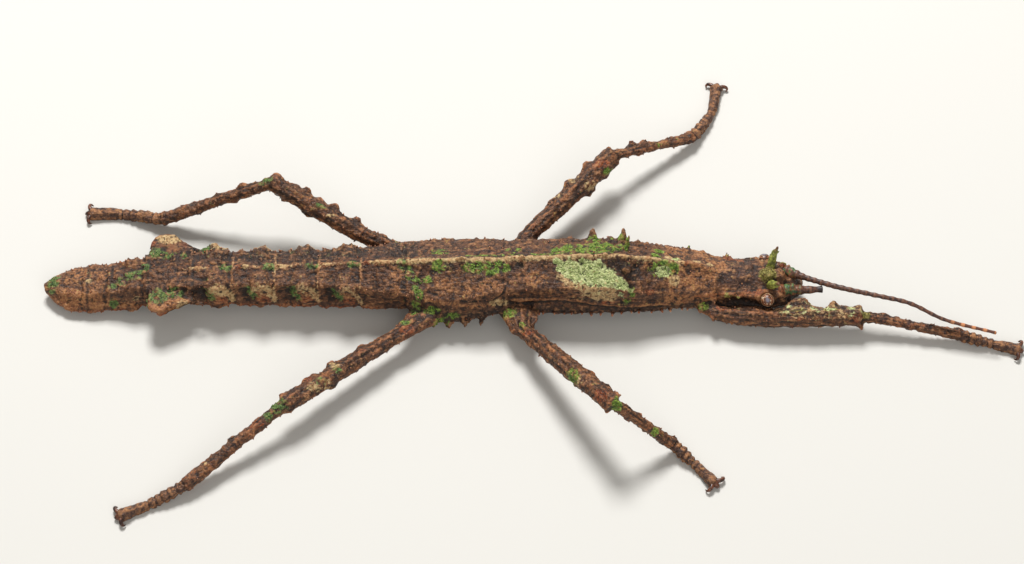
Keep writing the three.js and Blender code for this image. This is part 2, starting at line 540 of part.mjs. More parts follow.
// All four pieces of a leg: hip joint, thigh, shin and foot.
function legSolids(leg, trunkClearance) {
  const [coxa, hip, knee, ankle, mid, toe] = ['coxa', 'hip', 'knee', 'ankle', 'mid', 'toe']
    .map((key) => vector(leg[key]));
  const bend = leg.bend ? vector(leg.bend) : hip.clone().lerp(knee, THIGH_BEND);
  const side = Math.sign(hip.y);
  const hipPlane = mitre(coxa, hip, bend);
  const kneePlane = mitre(bend, knee, ankle);
  const anklePlane = mitre(knee, ankle, mid);
  const { thigh, shin, tall } = leg;

  const coxaLine = [coxa, overrun(coxa, hip, KNEE_OVERRUN)];
  let coxaSolid = tube(coxaLine, () => thigh, ribbed(2));
  coxaSolid = cutBefore(coxaSolid, hip, hipPlane).subtract(trunkClearance);

  const thighLine = [overrun(bend, hip, HIP_OVERRUN), bend, overrun(bend, knee, KNEE_OVERRUN)];
  let thighSolid = tube(thighLine, thighHalf(thigh), ribbed(5, tall));
  thighSolid = addLobes(thighSolid, bend, knee, thighHalf(thigh), THIGH_LOBES, side);
  thighSolid = cutBefore(thighSolid, knee, kneePlane);
  thighSolid = addKneeSpines(thighSolid, bend, knee, thigh);
  thighSolid = cutAfter(thighSolid, hip, hipPlane).subtract(trunkClearance);

  const shinLine = [overrun(ankle, knee, KNEE_OVERRUN), overrun(knee, ankle, HIP_OVERRUN)];
  let shinSolid = tube(shinLine, shinHalf(shin), ribbed(4));
  shinSolid = addLobes(shinSolid, knee, ankle, shinHalf(shin), SHIN_LOBES, side);
  shinSolid = cutBefore(cutAfter(shinSolid, knee, kneePlane), ankle, anklePlane);

  return {
    coxa: coxaSolid,
    femur: thighSolid,
    tibia: shinSolid,
    tarsus: foot(leg, ankle, mid, toe, anklePlane),
  };
}

// The folded left front leg: the shin runs forward again, below and outside the thigh.
function foldedLegSolids(leg, trunkClearance) {
  const [coxa, hip, bend, knee, shinStart, ankle, mid, toe] = [
    'coxa', 'hip', 'bend', 'knee', 'shinStart', 'ankle', 'mid', 'toe'].map((key) => vector(leg[key]));
  const { thigh, shin } = leg;
  const hipPlane = mitre(coxa, hip, bend);
  const anklePlane = mitre(shinStart, ankle, mid);

  const coxaLine = [coxa, overrun(coxa, hip, KNEE_OVERRUN)];
  let coxaSolid = tube(coxaLine, () => thigh, ribbed(3));
  coxaSolid = cutBefore(coxaSolid, hip, hipPlane).subtract(trunkClearance);

  let thighSolid = tube([overrun(bend, hip, HIP_OVERRUN), bend, knee], thighHalf(thigh), ribbed(6));
  thighSolid = cutAfter(thighSolid, hip, hipPlane).subtract(trunkClearance);

  // The shin turns under the knee through a short bow, and is cut clear of the thigh above it.
  let shinSolid = tube([shinStart, overrun(shinStart, ankle, HIP_OVERRUN)], shinHalf(shin), ribbed(4));
  const bow = FOLD_BOW.map((offset) => knee.clone().add(vector(offset)));
  bow.push(overrun(ankle, shinStart, -FOLD_JOIN));
  shinSolid = shinSolid.add(tube(bow, () => shin * FOLD_BOW_WIDTH, ribbed(3)));
  const clearLine = [overrun(bend, hip, HIP_OVERRUN), bend, overrun(bend, knee, SEAM)];
  const clearance = tube(clearLine, (along) => thighHalf(thigh)(along) + SEAM * 0.8, ribbed(6));
  shinSolid = cutBefore(shinSolid.subtract(clearance), ankle, anklePlane);
  return {
    coxa: coxaSolid,
    femur: thighSolid,
    tibia: shinSolid,
    tarsus: foot(leg, ankle, mid, toe, anklePlane),
  };
}

// ---------------------------------------------------------------------------
// Head, eyes, horns and antennae
// ---------------------------------------------------------------------------

const headPoint = ([x, y, z], side) => new THREE.Vector3(x, HEAD_SHIFT + side * y, z);
const eyeBall = (side, radius) => {
  const ball = new THREE.SphereGeometry(radius, 10, 6);
  ball.translate(EYE.x, HEAD_SHIFT + side * EYE.spread, EYE.height);
  return solidFrom(ball);
};

// Half width of an antenna: a stout root, then a beaded shaft.
const antennaHalf = (length) => (along) => {
  const shaft = THREE.MathUtils.lerp(ANTENNA_RADIUS.shaft, ANTENNA_RADIUS.tip, along);
  const root = (ANTENNA_RADIUS.root - shaft)
    * (1 - THREE.MathUtils.smoothstep(along * length, ...ANTENNA_ROOT_LENGTH));
  return shaft + root;
};

// A whole or broken antenna along its points.
function antenna(points, rings, grow = 0) {
  const line = points.map(vector);
  const length = new THREE.CatmullRomCurve3(line).getLength();
  const half = antennaHalf(length);
  return tube(line, (along) => half(along) + grow, plain(6, rings));
}

// The head with its swellings and spines, and a socket for each eye.
function headSolid() {
  const swelling = ({ at, half }, side) => pad(headPoint(at, side), half);
  let solid = plateSolid(HEAD, NECK_X + SEAM / 2, HEAD[HEAD.length - 1].x, 8);
  solid = solid.add(swelling(CREST, 1)).add(swelling(FACE, 1));
  solid = addPair(solid, (side) => swelling(BROW, side));
  solid = addPair(solid, (side) => swelling(MOUTHPART, side));
  for (const { base, tip } of HEAD_SPINES) {
    solid = addPair(solid, (side) => (
      spike(headPoint(base, side), headPoint(tip, side), HEAD_SPINE_RADIUS)));
  }
  for (const side of [1, -1]) {
    solid = solid.subtract(eyeBall(side, EYE.radius + SOCKET_GAP));
  }
  return solid;
}

// A horn: a bent cone with a small spike on its front.
function horn(side) {
  const base = headPoint(HORN.base, side);
  const tip = headPoint(HORN.tip, side);
  const middle = headPoint(HORN.bow, side);
  const shaft = tube([base, middle, tip], (along) => (
    HORN.radius * (1 - HORN.taper * along ** 1.6)), plain(7, 5));
  const { base: root, tip: point, radius } = HORN_SPIKE;
  return shaft.add(spike(headPoint(root, side), headPoint(point, side), radius));
}

// ---------------------------------------------------------------------------
// Assembly
// ---------------------------------------------------------------------------

const insect = new THREE.Group();

// Adds one solid to the model under its own name.
function addNode(name, solid, finish) {
  const mesh = new THREE.Mesh(geometryFrom(solid), new THREE.MeshStandardMaterial(finish));
  mesh.name = name;
  insect.add(mesh);
}

// Trunk plates, tail to neck.
PLATES.forEach((plate, index) => {
  addNode(plate.name, trunkPlate(index), plate.name.startsWith('abdomen') ? BARK : DARK_BARK);
});

// The head is cut clear of whatever is set into it.
const horns = { left: horn(1), right: horn(-1) };
const hornSockets = [1, -1].map((side) => {
  const base = headPoint(HORN.base, side);
  const tip = headPoint(HORN.tip, side);
  return tube([overrun(tip, base, SOCKET_GAP * 2), tip], () => HORN.radius + SOCKET_GAP, plain(7, 1));
});
let head = headSolid();
for (const socket of hornSockets) {
  head = head.subtract(socket);
}
head = head.subtract(antenna(ANTENNA_LEFT, 9, SOCKET_GAP));
head = head.subtract(antenna(ANTENNA_RIGHT, 3, SOCKET_GAP));
addNode('head', head, RUST_BARK);
addNode('eye_left', eyeBall(1, EYE.radius), EYE_SHELL);
addNode('eye_right', eyeBall(-1, EYE.radius), EYE_SHELL);
addNode('horn_left', horns.left, HORN_GREEN);
addNode('horn_right', horns.right, HORN_GREEN);
addNode('antenna_left', antenna(ANTENNA_LEFT, 17), RUST_BARK);
addNode('antenna_right', antenna(ANTENNA_RIGHT, 4), RUST_BARK);

// Legs, each cut clear of the trunk from the second ring of the abdomen to the neck.
const TRUNK_CLEAR_REAR = -18;
const clearance = plateSolid(TRUNK, TRUNK_CLEAR_REAR, NECK_X, 24, { grow: SEAM });
for (const leg of LEGS) {
  const pieces = legSolids(leg, clearance);
  for (const [piece, solid] of Object.entries(pieces)) {
    addNode(`${leg.name}_${piece}`, solid, piece === 'tarsus' ? RUST_BARK : BARK);
  }
}
for (const [piece, solid] of Object.entries(foldedLegSolids(FOLDED_LEG, clearance))) {
  addNode(`${FOLDED_LEG.name}_${piece}`, solid, piece === 'tarsus' ? RUST_BARK : BARK);
}

// The origin is the middle of the footprint, at floor level.
const box = new THREE.Box3().setFromObject(insect);
const centre = box.getCenter(new THREE.Vector3());
insect.position.set(-centre.x, -centre.y, -box.min.z);
insect.updateMatrixWorld(true);

export default insect;
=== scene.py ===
import math
import random

import bmesh
import bpy
import numpy as np
from mathutils import Matrix, Vector, noise
from mathutils.bvhtree import BVHTree


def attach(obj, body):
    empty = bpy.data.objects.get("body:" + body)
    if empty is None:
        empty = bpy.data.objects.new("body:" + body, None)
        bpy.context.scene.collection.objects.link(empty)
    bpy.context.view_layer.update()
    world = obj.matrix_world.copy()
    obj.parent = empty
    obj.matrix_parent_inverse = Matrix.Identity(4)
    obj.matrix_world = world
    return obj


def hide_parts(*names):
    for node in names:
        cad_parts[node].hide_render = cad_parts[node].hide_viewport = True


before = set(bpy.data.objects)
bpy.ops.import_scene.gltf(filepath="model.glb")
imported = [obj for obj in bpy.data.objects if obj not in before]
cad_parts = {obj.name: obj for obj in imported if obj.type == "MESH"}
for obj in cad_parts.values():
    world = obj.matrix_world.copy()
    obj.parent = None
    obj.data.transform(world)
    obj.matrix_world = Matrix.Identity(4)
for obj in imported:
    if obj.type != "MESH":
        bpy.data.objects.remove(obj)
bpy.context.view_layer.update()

# ------------------------------------------------------------------------------------
# Skin. The whole animal wears one hard bark-like cuticle, from the head over the body
# rings to the feet. It is closed over the joints, then worked with wrinkles, granules,
# a ridge down the back and toothed edges, and marked with moss and lichen colours.
# ------------------------------------------------------------------------------------
MM = 0.001
UP = Vector((0, 0, 1))
SIDES = (-1.0, 1.0)
FAR_OFF = 1e9
CENTRE_X, CENTRE_Y = -2.102, 0.797
# The cubes the skin is remade in, how far it is swelled to close the joints, and the
# least height over the floor, in mm.
CUBE, SWELL, FLOOR_GAP = 0.15, 0.15, 0.005
# The skin's most faces, and the fewest vertices in a scrap of it that stays.
SKIN_FACES, SCRAP = 194000, 200

RINGS = [f"abdomen_{n}" for n in range(10, 1, -1)]
TRUNK = RINGS + ["metathorax", "mesothorax", "prothorax", "head"]
LEGS = ["hind_left", "hind_right", "mid_left", "mid_right", "fore_left", "fore_right"]
FOLDED = "fore_left"
# The middle lines of each leg's parts, in mm from the animal's centre.
LIMBS = {
    ("hind_left", "coxa"): [(-9.3, 4.45, 1.4), (-12, 4.45, 1.3)],
    ("hind_left", "femur"): [(-12, 4.45, 1.3), (-15.5, 5.2, 2.54), (-25.49, 9.65, 6.5)],
    ("hind_left", "tibia"): [(-25.49, 9.65, 6.5), (-37.69, 8.45, 1.1)],
    ("hind_left", "tarsus"): [(-37.69, 8.45, 1.1), (-41.9, 9.55, 0.4), (-45.63, 9.66, 0.4)],
    ("hind_right", "coxa"): [(-7.9, -3.4, 2.3), (-10.75, -5.95, 2.3)],
    ("hind_right", "femur"): [(-10.75, -5.95, 2.3), (-23.6, -15.9, 3.4)],
    ("hind_right", "tibia"): [(-23.6, -15.9, 3.4), (-33.67, -24.15, 1.05)],
    ("hind_right", "tarsus"): [(-33.67, -24.15, 1.05), (-37.4, -26.05, 0.4), (-40.24, -27.34, 0.4)],
    ("mid_left", "coxa"): [(1, 2.9, 2.4), (1.6, 5.1, 2.9)],
    ("mid_left", "femur"): [(1.6, 5.1, 2.9), (10.96, 14.74, 4.2)],
    ("mid_left", "tibia"): [(10.96, 14.74, 4.2), (19.8, 19.23, 1)],
    ("mid_left", "tarsus"): [(19.8, 19.23, 1), (21.9, 22.8, 0.4), (22.67, 26.41, 0.4)],
    ("mid_right", "coxa"): [(1, -2.9, 2.4), (1.1, -6.4, 2.6)],
    ("mid_right", "femur"): [(1.1, -6.4, 2.6), (10.35, -18.15, 7.6)],
    ("mid_right", "tibia"): [(10.35, -18.15, 7.6), (16.71, -19.35, 1.15)],
    ("mid_right", "tarsus"): [(16.71, -19.35, 1.15), (18.9, -21.3, 0.4), (20.95, -23.6, 0.4)],
    ("fore_left", "coxa"): [(19.6, 2, 1.9), (18.9, 3.75, 1.4)],
    ("fore_left", "femur"): [(18.9, 3.75, 1.4), (12, 4.5, 1.5), (5.6, 4.65, 1.85)],
    ("fore_left", "tibia"): [(5.7, 5.25, 0.64), (13.6, 5.2, 0.62)],
    ("fore_left", "tarsus"): [(13.6, 5.2, 0.62), (16.2, 5.1, 0.36), (18.2, 4.7, 0.36)],
    ("fore_right", "coxa"): [(19.4, -2.2, 2.1), (21.9, -3.9, 1.8)],
    ("fore_right", "femur"): [(21.9, -3.9, 1.8), (26.2, -4.45, 1.85), (36.97, -4.25, 2)],
    ("fore_right", "tibia"): [(36.97, -4.25, 2), (47.41, -6.03, 1)],
    ("fore_right", "tarsus"): [(47.41, -6.03, 1), (50.5, -6.7, 0.4), (53.47, -7.52, 0.4)],
}
FOOT_JOINTS = [0.13, 0.25, 0.36, 0.46, 0.57]
GIRTH = {"coxa": 1.3, "femur": 0.95, "tibia": 0.7, "tarsus": 0.5}
EDGE_TEETH = {"coxa": 0.3, "femur": 0.6, "tibia": 0.5, "tarsus": 0.3}
# The turns from straight up at which a leg's four edges run.
EDGES = (-2.35, -0.8, 0.8, 2.35)

# Along the trunk, in mm: x, ridge height, keel half-width and height,
# flank half-width and height, belly height.
SECTIONS = np.array([
    (-51.8, 1.75, 0.25, 1.62, 0.35, 1.3, 1), (-50.5, 2.2, 1, 1.95, 1.95, 1, 0.6),
    (-48.5, 2.5, 1.65, 2.25, 3, 0.85, 0.45), (-44.8, 3.05, 1.8, 2.8, 3, 0.9, 0.45),
    (-40.9, 3.9, 1.85, 3.6, 2.75, 1.5, 0.6), (-36.1, 4.65, 2.1, 4.4, 2.6, 1.6, 0.7),
    (-27.1, 5.1, 2.15, 4.65, 2.85, 1.75, 0.85), (-18, 5.8, 2.6, 4.75, 3.2, 1.9, 0.9),
    (-13, 6.2, 3.4, 4.5, 4, 2.1, 0.9), (-8.3, 6.5, 3.95, 4.3, 5, 1.95, 0.9),
    (-2.7, 6.67, 3.2, 5.35, 4.1, 2.5, 0.9), (6.7, 7.3, 3.2, 5.6, 3.75, 1.8, 0.85),
    (9.9, 7.15, 3.18, 5.2, 3.68, 1.8, 0.85), (13.1, 6.55, 3.08, 4.5, 3.55, 1.8, 0.9),
    (15.5, 6, 2.92, 4.2, 3.35, 1.85, 0.95), (19.3, 4.95, 2.6, 3.6, 2.75, 2, 1.05),
    (23, 4.4, 2, 3.4, 2.6, 2.2, 0.9), (28.7, 3.6, 1.2, 3, 1.6, 2, 0.9),
])
RIDGE, KEEL_OUT, KEEL_UP, FLANK_OUT, FLANK_UP, BELLY = range(1, 7)
SEAMS = [-47.4, -44.8, -40.9, -36.1, -31.6, -27.1, -22.5, -18.0, -13.0, -2.7, 15.5]
# Where along x the cuticle changes its nature.
TAIL, WAIST, THORAX, SHOULDER, NECK = -44.0, -12.5, SEAMS[8], SEAMS[-1], 19.0
# How far apart the teeth of the ridge and the keels, and those of the flanks, are.
KEEL_TEETH, FLANK_TEETH = 0.95, 1.2


def section(x, column):
    """The trunk's measure in that column of SECTIONS at each x."""
    return np.interp(x, SECTIONS[:, 0], SECTIONS[:, column])


def in_frame(path):
    """A limb's points, measured from the animal's centre, as places in the shared frame."""
    return [np.array([x + CENTRE_X, y + CENTRE_Y, z]) for x, y, z in path]


def only(obj):
    """Leaves obj as the one selected and active object."""
    bpy.ops.object.select_all(action="DESELECT")
    obj.select_set(True)
    bpy.context.view_layer.objects.active = obj


def joined(name, parts):
    """One object of all the parts, under that name."""
    only(parts[0])
    for part in parts[1:]:
        part.select_set(True)
    if len(parts) > 1:
        bpy.ops.object.join()
    whole = bpy.context.view_layer.objects.active
    whole.name = whole.data.name = name
    return whole


def settled(name):
    """The primitive just added, under that name, with its place worked into its mesh."""
    bpy.ops.object.transform_apply(location=True, rotation=True, scale=True)
    made = bpy.context.object
    made.name = made.data.name = name
    return made


def finish_with(obj, kind, **settings):
    """Adds a modifier with those settings and applies it."""
    only(obj)
    step = obj.modifiers.new(kind.title(), kind)
    for key, value in settings.items():
        setattr(step, key, value)
    bpy.ops.object.modifier_apply(modifier=step.name)


def welded(obj):
    """Opens obj's mesh for editing, all of it selected, with its doubled points made one."""
    only(obj)
    bpy.ops.object.mode_set(mode="EDIT")
    bpy.ops.mesh.select_all(action="SELECT")
    bpy.ops.mesh.remove_doubles(threshold=1e-7)


# Leafy lobes on the legs' parts: share of the part's length, turn about it from straight
# up, reach from its middle, length along it and thickness, in mm.
LOBES = {
    ("hind_left", "femur"): [
        (0.15, 1, 1.2, 1, 0.5), (0.36, 1.05, 1.7, 1, 0.6), (0.54, 1.05, 1.8, 1, 0.6),
        (0.76, 1.05, 1.75, 1.1, 0.6), (0.69, -2.05, 1.55, 1.3, 0.55),
        (0.87, -2.05, 1.6, 0.6, 0.35), (0.99, 1.05, 1.35, 0.8, 0.5), (0.45, -2, 1.2, 1, 0.5),
        (0.3, -0.6, 1.2, 0.8, 0.5),
    ],
    ("hind_left", "tibia"): [
        (0.26, 0.93, 1.2, 1.1, 0.5), (0.48, 0.93, 1.05, 0.9, 0.4), (0.36, -2.2, 0.95, 0.9, 0.4),
        (0.7, 0.9, 0.85, 0.7, 0.3), (0.66, -2.2, 0.85, 0.7, 0.3), (0.97, 1, 1, 0.7, 0.4),
    ],
    ("hind_right", "coxa"): [(0.8, 1.1, 1.6, 0.9, 0.5)],
    ("hind_right", "femur"): [
        (0.35, 1.1, 1.45, 1.1, 0.6), (0.46, 1.3, 1.25, 0.7, 0.5), (0.59, 1, 1.6, 1, 0.6),
        (0.79, 1.1, 1.5, 1.1, 0.6), (0.66, -2, 1.55, 1.2, 0.5), (0.54, -2, 1.2, 0.9, 0.5),
        (0.87, -2, 1.35, 0.6, 0.35), (0.99, -2, 1.3, 0.7, 0.4), (0.98, 1.1, 1.45, 0.6, 0.4),
        (0.2, -0.6, 1.25, 0.8, 0.5), (0.7, -0.4, 1.25, 0.8, 0.5),
    ],
    ("hind_right", "tibia"): [
        (0.25, 1.1, 0.95, 0.9, 0.4), (0.49, 1.1, 1.15, 0.9, 0.45), (0.36, -2, 0.9, 0.7, 0.3),
        (0.73, -2, 0.85, 0.7, 0.3), (0.68, 1.1, 0.85, 0.6, 0.3), (0.95, 1.1, 0.95, 0.7, 0.4),
    ],
    ("mid_left", "femur"): [
        (0.18, -1.15, 1.2, 0.8, 0.5), (0.34, -1.15, 1.45, 0.9, 0.5),
        (0.56, -1.15, 1.75, 1.3, 0.6), (0.77, -1.15, 1.9, 1.1, 0.6),
        (0.64, 1.95, 1.75, 1.5, 0.6), (0.83, 1.95, 1.6, 1.2, 0.5), (0.98, -1.15, 1.3, 0.8, 0.5),
        (0.99, 1.95, 1.3, 0.7, 0.4), (0.45, 0.4, 1.25, 0.9, 0.5),
    ],
    ("mid_left", "tibia"): [
        (0.24, -0.95, 1.35, 0.9, 0.45), (0.38, -0.95, 1.2, 0.9, 0.45),
        (0.31, 2.2, 0.9, 0.7, 0.4), (0.7, -0.95, 0.85, 0.7, 0.3), (0.95, -0.95, 0.95, 0.7, 0.4),
    ],
    ("mid_right", "coxa"): [(0.75, -1.55, 1.5, 0.8, 0.5)],
    ("mid_right", "femur"): [
        (0.18, -1.1, 1.3, 0.8, 0.5), (0.45, -1.1, 1.25, 0.8, 0.5), (0.56, 2, 1.35, 1.4, 0.6),
        (0.65, 2, 1.5, 0.6, 0.4), (0.67, -1.1, 1.4, 0.9, 0.5), (0.98, -0.95, 1.5, 0.7, 0.4),
        (0.98, 2.2, 1.6, 0.6, 0.4), (0.85, 2, 1.3, 0.8, 0.4), (0.3, 0.6, 1.25, 0.9, 0.5),
    ],
    ("mid_right", "tibia"): [
        (0.37, -0.9, 0.95, 0.8, 0.35), (0.29, 2.2, 0.9, 0.6, 0.3), (0.55, 2.2, 0.85, 0.6, 0.3),
        (0.7, -0.9, 0.85, 0.6, 0.3), (0.95, -0.9, 1, 0.7, 0.4),
    ],
    ("fore_right", "femur"): [
        (0.12, 1.2, 1.3, 0.9, 0.5), (0.19, 2.1, 1.15, 0.8, 0.5), (0.56, -1, 2.35, 2.1, 0.6),
        (0.8, -1, 1.95, 1, 0.5), (0.65, 2.1, 1.2, 1, 0.4), (0.97, -1, 1.4, 0.8, 0.5),
        (0.985, 2.1, 1.5, 0.6, 0.35), (0.36, 2.1, 1.15, 0.8, 0.4),
    ],
    ("fore_right", "tibia"): [
        (0.22, -1, 0.95, 0.8, 0.4), (0.5, 2.1, 0.8, 0.8, 0.3), (0.75, -1, 0.8, 0.6, 0.3),
        (0.96, -1, 0.9, 0.7, 0.4),
    ],
}
# Bosses of the trunk: root, tip, and width at the root, in mm. They are the teeth and
# lumps of its edges and ridge, the fore knee's spine, the horns' feet and the brows.
BOSSES = [
    ((6.4, 3.7, 5.4), (6.5, 4.75, 6.35), 1.2), ((9.5, 3.6, 5.3), (9.75, 4.75, 6.6), 1.25),
    ((9.9, 2, 6), (10.25, 2.95, 7.75), 0.95), ((8.4, 3.7, 5.2), (8.5, 4.4, 5.8), 0.5),
    ((4.1, 3.7, 5.3), (4.1, 4.35, 5.75), 0.5), ((11.2, 3.5, 4.9), (11.35, 4.25, 5.5), 0.6),
    ((13.2, 3.5, 4.4), (13.35, 4.3, 4.9), 0.55), ((16.6, 3.3, 3.9), (16.7, 4.1, 4.4), 0.6),
    ((18.2, 3.1, 3.5), (18.3, 3.9, 4), 0.6), ((20.6, 2.7, 3.5), (20.7, 3.5, 4.15), 0.7),
    ((20.6, -1.7, 3.2), (20.7, -2.2, 3.75), 0.6), ((21.6, -1.75, 3.1), (21.8, -2.3, 3.5), 0.5),
    ((-7.5, 0.8, 6), (-7.4, 0.8, 6.95), 1), ((-1.2, 0.8, 6.2), (-1.1, 0.8, 7.1), 1),
    ((5.1, 0.8, 6.6), (5.2, 0.8, 7.25), 0.6), ((-10.6, -3.6, 2.2), (-11, -5, 1.9), 0.9),
    ((-8.6, -4, 2), (-8.7, -5.1, 1.8), 0.8), ((-7.1, -4.1, 2.1), (-7.1, -5.1, 1.9), 0.7),
    ((-5.4, -3.9, 2.2), (-5.4, -4.8, 2), 0.7), ((0.2, -3, 2.7), (0.45, -4.8, 3), 1.1),
    ((34.1, -3.7, 1.8), (35, -5, 1.5), 0.8), ((19, -2.9, 2.2), (19.2, -4.3, 2), 1.2),
    ((17.9, -2.2, 2.4), (17.7, -3.3, 2.3), 1.2), ((19.1, -1.6, 2.6), (19.3, -2.4, 3.2), 1),
    ((21, -3, 1.9), (21.1, -4.5, 1.7), 0.9), ((27.4, -3.6, 1.9), (27.5, -4.9, 1.7), 0.7),
    ((25.2, 1.6, 3.4), (25.15, 1, 4.3), 1), ((25.2, -0.8, 3.4), (25.15, -0.2, 4.3), 1),
    ((26.4, 1.6, 3), (26.7, 1.95, 4), 1.3), ((26.3, -0.6, 3), (26.4, -1, 3.7), 1.1),
]
# Broad bosses: root, tip, width, length the long way, and the tip's share, in mm. They
# are the roots of the legs, the flaps near the tail, the neck, the cheeks and the crest.
BROAD = [
    ((-1.7, -1.6, 2.6), (-0.9, -6, 2.7), 2.3, (5.6, 0, 0), 0.22),
    ((-1, 3.2, 2.6), (-0.6, 6.4, 3), 2, (3.4, 0, 0), 0.2),
    ((-9.6, -2.4, 2.3), (-14.2, -6.3, 2.6), 1.9, (2.2, -2.5, 0), 0.28),
    ((-38, 2.2, 3.8), (-38.5, 5.5, 3.9), 0.5, (7.6, 0, 0), 0.26),
    ((-37.5, -0.9, 3.8), (-39.4, -4, 3), 0.5, (8, 0, 0), 0.18),
    ((-34.2, 2.2, 4.3), (-34.4, 3.8, 4.2), 0.6, (4.2, 0, 0), 0.2),
    ((17.5, 0.8, 2.85), (23.2, 0.8, 2.85), 4.4, (0, 5.8, 0), 0.3),
    ((23, -1.2, 1.7), (23, -2.3, 1.6), 1.6, (5, 0, 0), 0.4),
    ((23, 2.8, 1.7), (23, 3.9, 1.6), 1.6, (5, 0, 0), 0.4),
    ((20.4, -0.6, 1.7), (20.5, -2.6, 1.4), 1, (3.4, 0, 0), 0.4),
    ((25.6, -0.2, 2), (26, -2, 1.45), 1.3, (4.4, 0, 0), 0.35),
    ((24.9, 0.3, 3.2), (24.9, 0.2, 4.8), 1.6, (1.6, 0, 0), 0.36),
    ((26.1, 0.5, 3), (26.1, 0.5, 4.35), 1.7, (1.7, 0, 0), 0.36),
]


def knob(foot, tip, width, length=(0, 0, 0), point=0.14):
    """A blunt boss from foot to tip, in mm, that wide one way and that long the other."""
    foot, tip = Vector(foot), Vector(tip)
    aim, long_way = tip - foot, Vector(length)
    across = (aim.cross(long_way) if long_way.length > 0 else aim.orthogonal()).normalized()
    other = across.cross(aim).normalized()
    reach = max(long_way.length, width)
    bpy.ops.mesh.primitive_cone_add(
        vertices=12, radius1=0.5, radius2=point, depth=1.0, location=(0, 0, 0.5)
    )
    boss = settled("knob")
    turn = Matrix((other * reach, across * width, aim)).transposed().to_4x4()
    boss.data.transform(Matrix.Scale(MM, 4) @ Matrix.Translation(foot) @ turn)
    return boss


def lobe(path, share, turn, reach, length, thickness):
    """One leafy lobe of a leg: a boss from inside the limb, at that share of its path."""
    runs = [(b - a).length for a, b in zip(path, path[1:])]
    left = share * sum(runs)
    for start, end, run in zip(path, path[1:], runs):
        if left <= run or end is path[-1]:
            break
        left -= run
    way = (end - start).normalized()
    side = way.cross(UP).normalized()
    aim = side.cross(way) * math.cos(turn) + side * math.sin(turn)
    foot = start + way * left + aim * 0.2
    tip = start + way * (left + 0.12) + aim * (reach * 0.94 - 0.15)
    return knob(foot, tip, thickness * 1.5, way * length * 2.4, 0.15)


def closed_over(name, nodes, extra=()):
    """One closed surface over those nodes: swelled till the joints touch, remade in
    small cubes, and drawn in again by as much. Feet end square just behind their claws."""
    copies = []
    for node in nodes:
        copy = bpy.data.objects.new("fresh_" + node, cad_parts[node].data.copy())
        bpy.context.scene.collection.objects.link(copy)
        if node.endswith("tarsus"):
            heel, toe = in_frame(LIMBS[node[4:-7], "tarsus"])[-2:]
            way = (toe - heel) / np.linalg.norm(toe - heel)
            welded(copy)
            bpy.ops.mesh.bisect(
                plane_co=(toe - 0.1 * way) * MM, plane_no=way, use_fill=True, clear_outer=True
            )
            bpy.ops.object.mode_set(mode="OBJECT")
        copies.append(copy)
    whole = joined(name, copies + list(extra))
    welded(whole)
    bpy.ops.object.mode_set(mode="OBJECT")
    for strength, factor, times in ((SWELL, 0.5, 2), (-SWELL, 0.4, 1)):
        finish_with(whole, "DISPLACE", mid_level=0.0, strength=strength * MM)
        finish_with(whole, "REMESH", mode="VOXEL", voxel_size=CUBE * MM)
        finish_with(whole, "SMOOTH", factor=factor, iterations=times)
    return whole


def without_crumbs(obj, least):
    """Takes away loose scraps of fewer than that many vertices."""
    work = bmesh.new()
    work.from_mesh(obj.data)
    left = set(work.verts)
    while left:
        found = [left.pop()]
        for vertex in found:
            for edge in vertex.link_edges:
                other = edge.other_vert(vertex)
                if other in left:
                    left.remove(other)
                    found.append(other)
        if len(found) < least:
            bmesh.ops.delete(work, geom=found, context="VERTS")
    work.to_mesh(obj.data)
    work.free()


def places(mesh):
    """The mesh's vertices, in mm."""
    found = np.empty(len(mesh.vertices) * 3)
    mesh.vertices.foreach_get("co", found)
    return found.reshape(-1, 3) / MM


def outward(mesh):
    """The mesh's vertex normals."""
    found = np.empty(len(mesh.vertices) * 3)
    mesh.vertices.foreach_get("normal", found)
    return found.reshape(-1, 3)


def put(mesh, spots):
    """Moves the mesh's vertices to those spots, in mm."""
    mesh.vertices.foreach_set("co", (spots * MM).ravel())
    mesh.update()


def keep(obj, name, values):
    """Stores a value for each vertex of obj, for its colours to read."""
    layer = obj.data.attributes.new(name, "FLOAT", "POINT")
    layer.data.foreach_set("value", np.array(values, np.float32))


def unit(values):
    """The values, held between 0 and 1."""
    return np.clip(values, 0.0, 1.0)


def rough(spots, size, seed=0):
    """Uneven swellings about that size in mm, from about -1 to 1 at each spot."""
    shift = Vector((seed * 17.3, seed * 5.1, seed * 9.7))
    return np.array([noise.fractal(Vector(spot) / size + shift, 1.0, 2.0, 3) for spot in spots])


def granules(spots, size, seed=0):
    """Round grains that size apart in mm: 1 at the middle of each and 0 between them."""
    shift = Vector((seed * 13.1, seed * 7.7, seed * 3.3))
    near = np.array([noise.voronoi(Vector(spot) / size + shift)[0][0] for spot in spots])
    return unit(1.0 - near / 0.55)


def bell(distance, width):
    """1 on the line, falling smoothly to almost nothing at twice that width."""
    return np.exp(-((distance / width) ** 2))


def away_from(spots, line):
    """The distance in mm of each spot from a line of straight runs."""
    best = np.full(len(spots), FAR_OFF)
    for start, end in zip(line, line[1:]):
        start, end = np.array(start), np.array(end)
        run = end - start
        share = unit((spots - start) @ run / (run @ run))
        gap = np.linalg.norm(spots - start - share[:, None] * run, axis=1)
        best = np.minimum(best, gap)
    return best


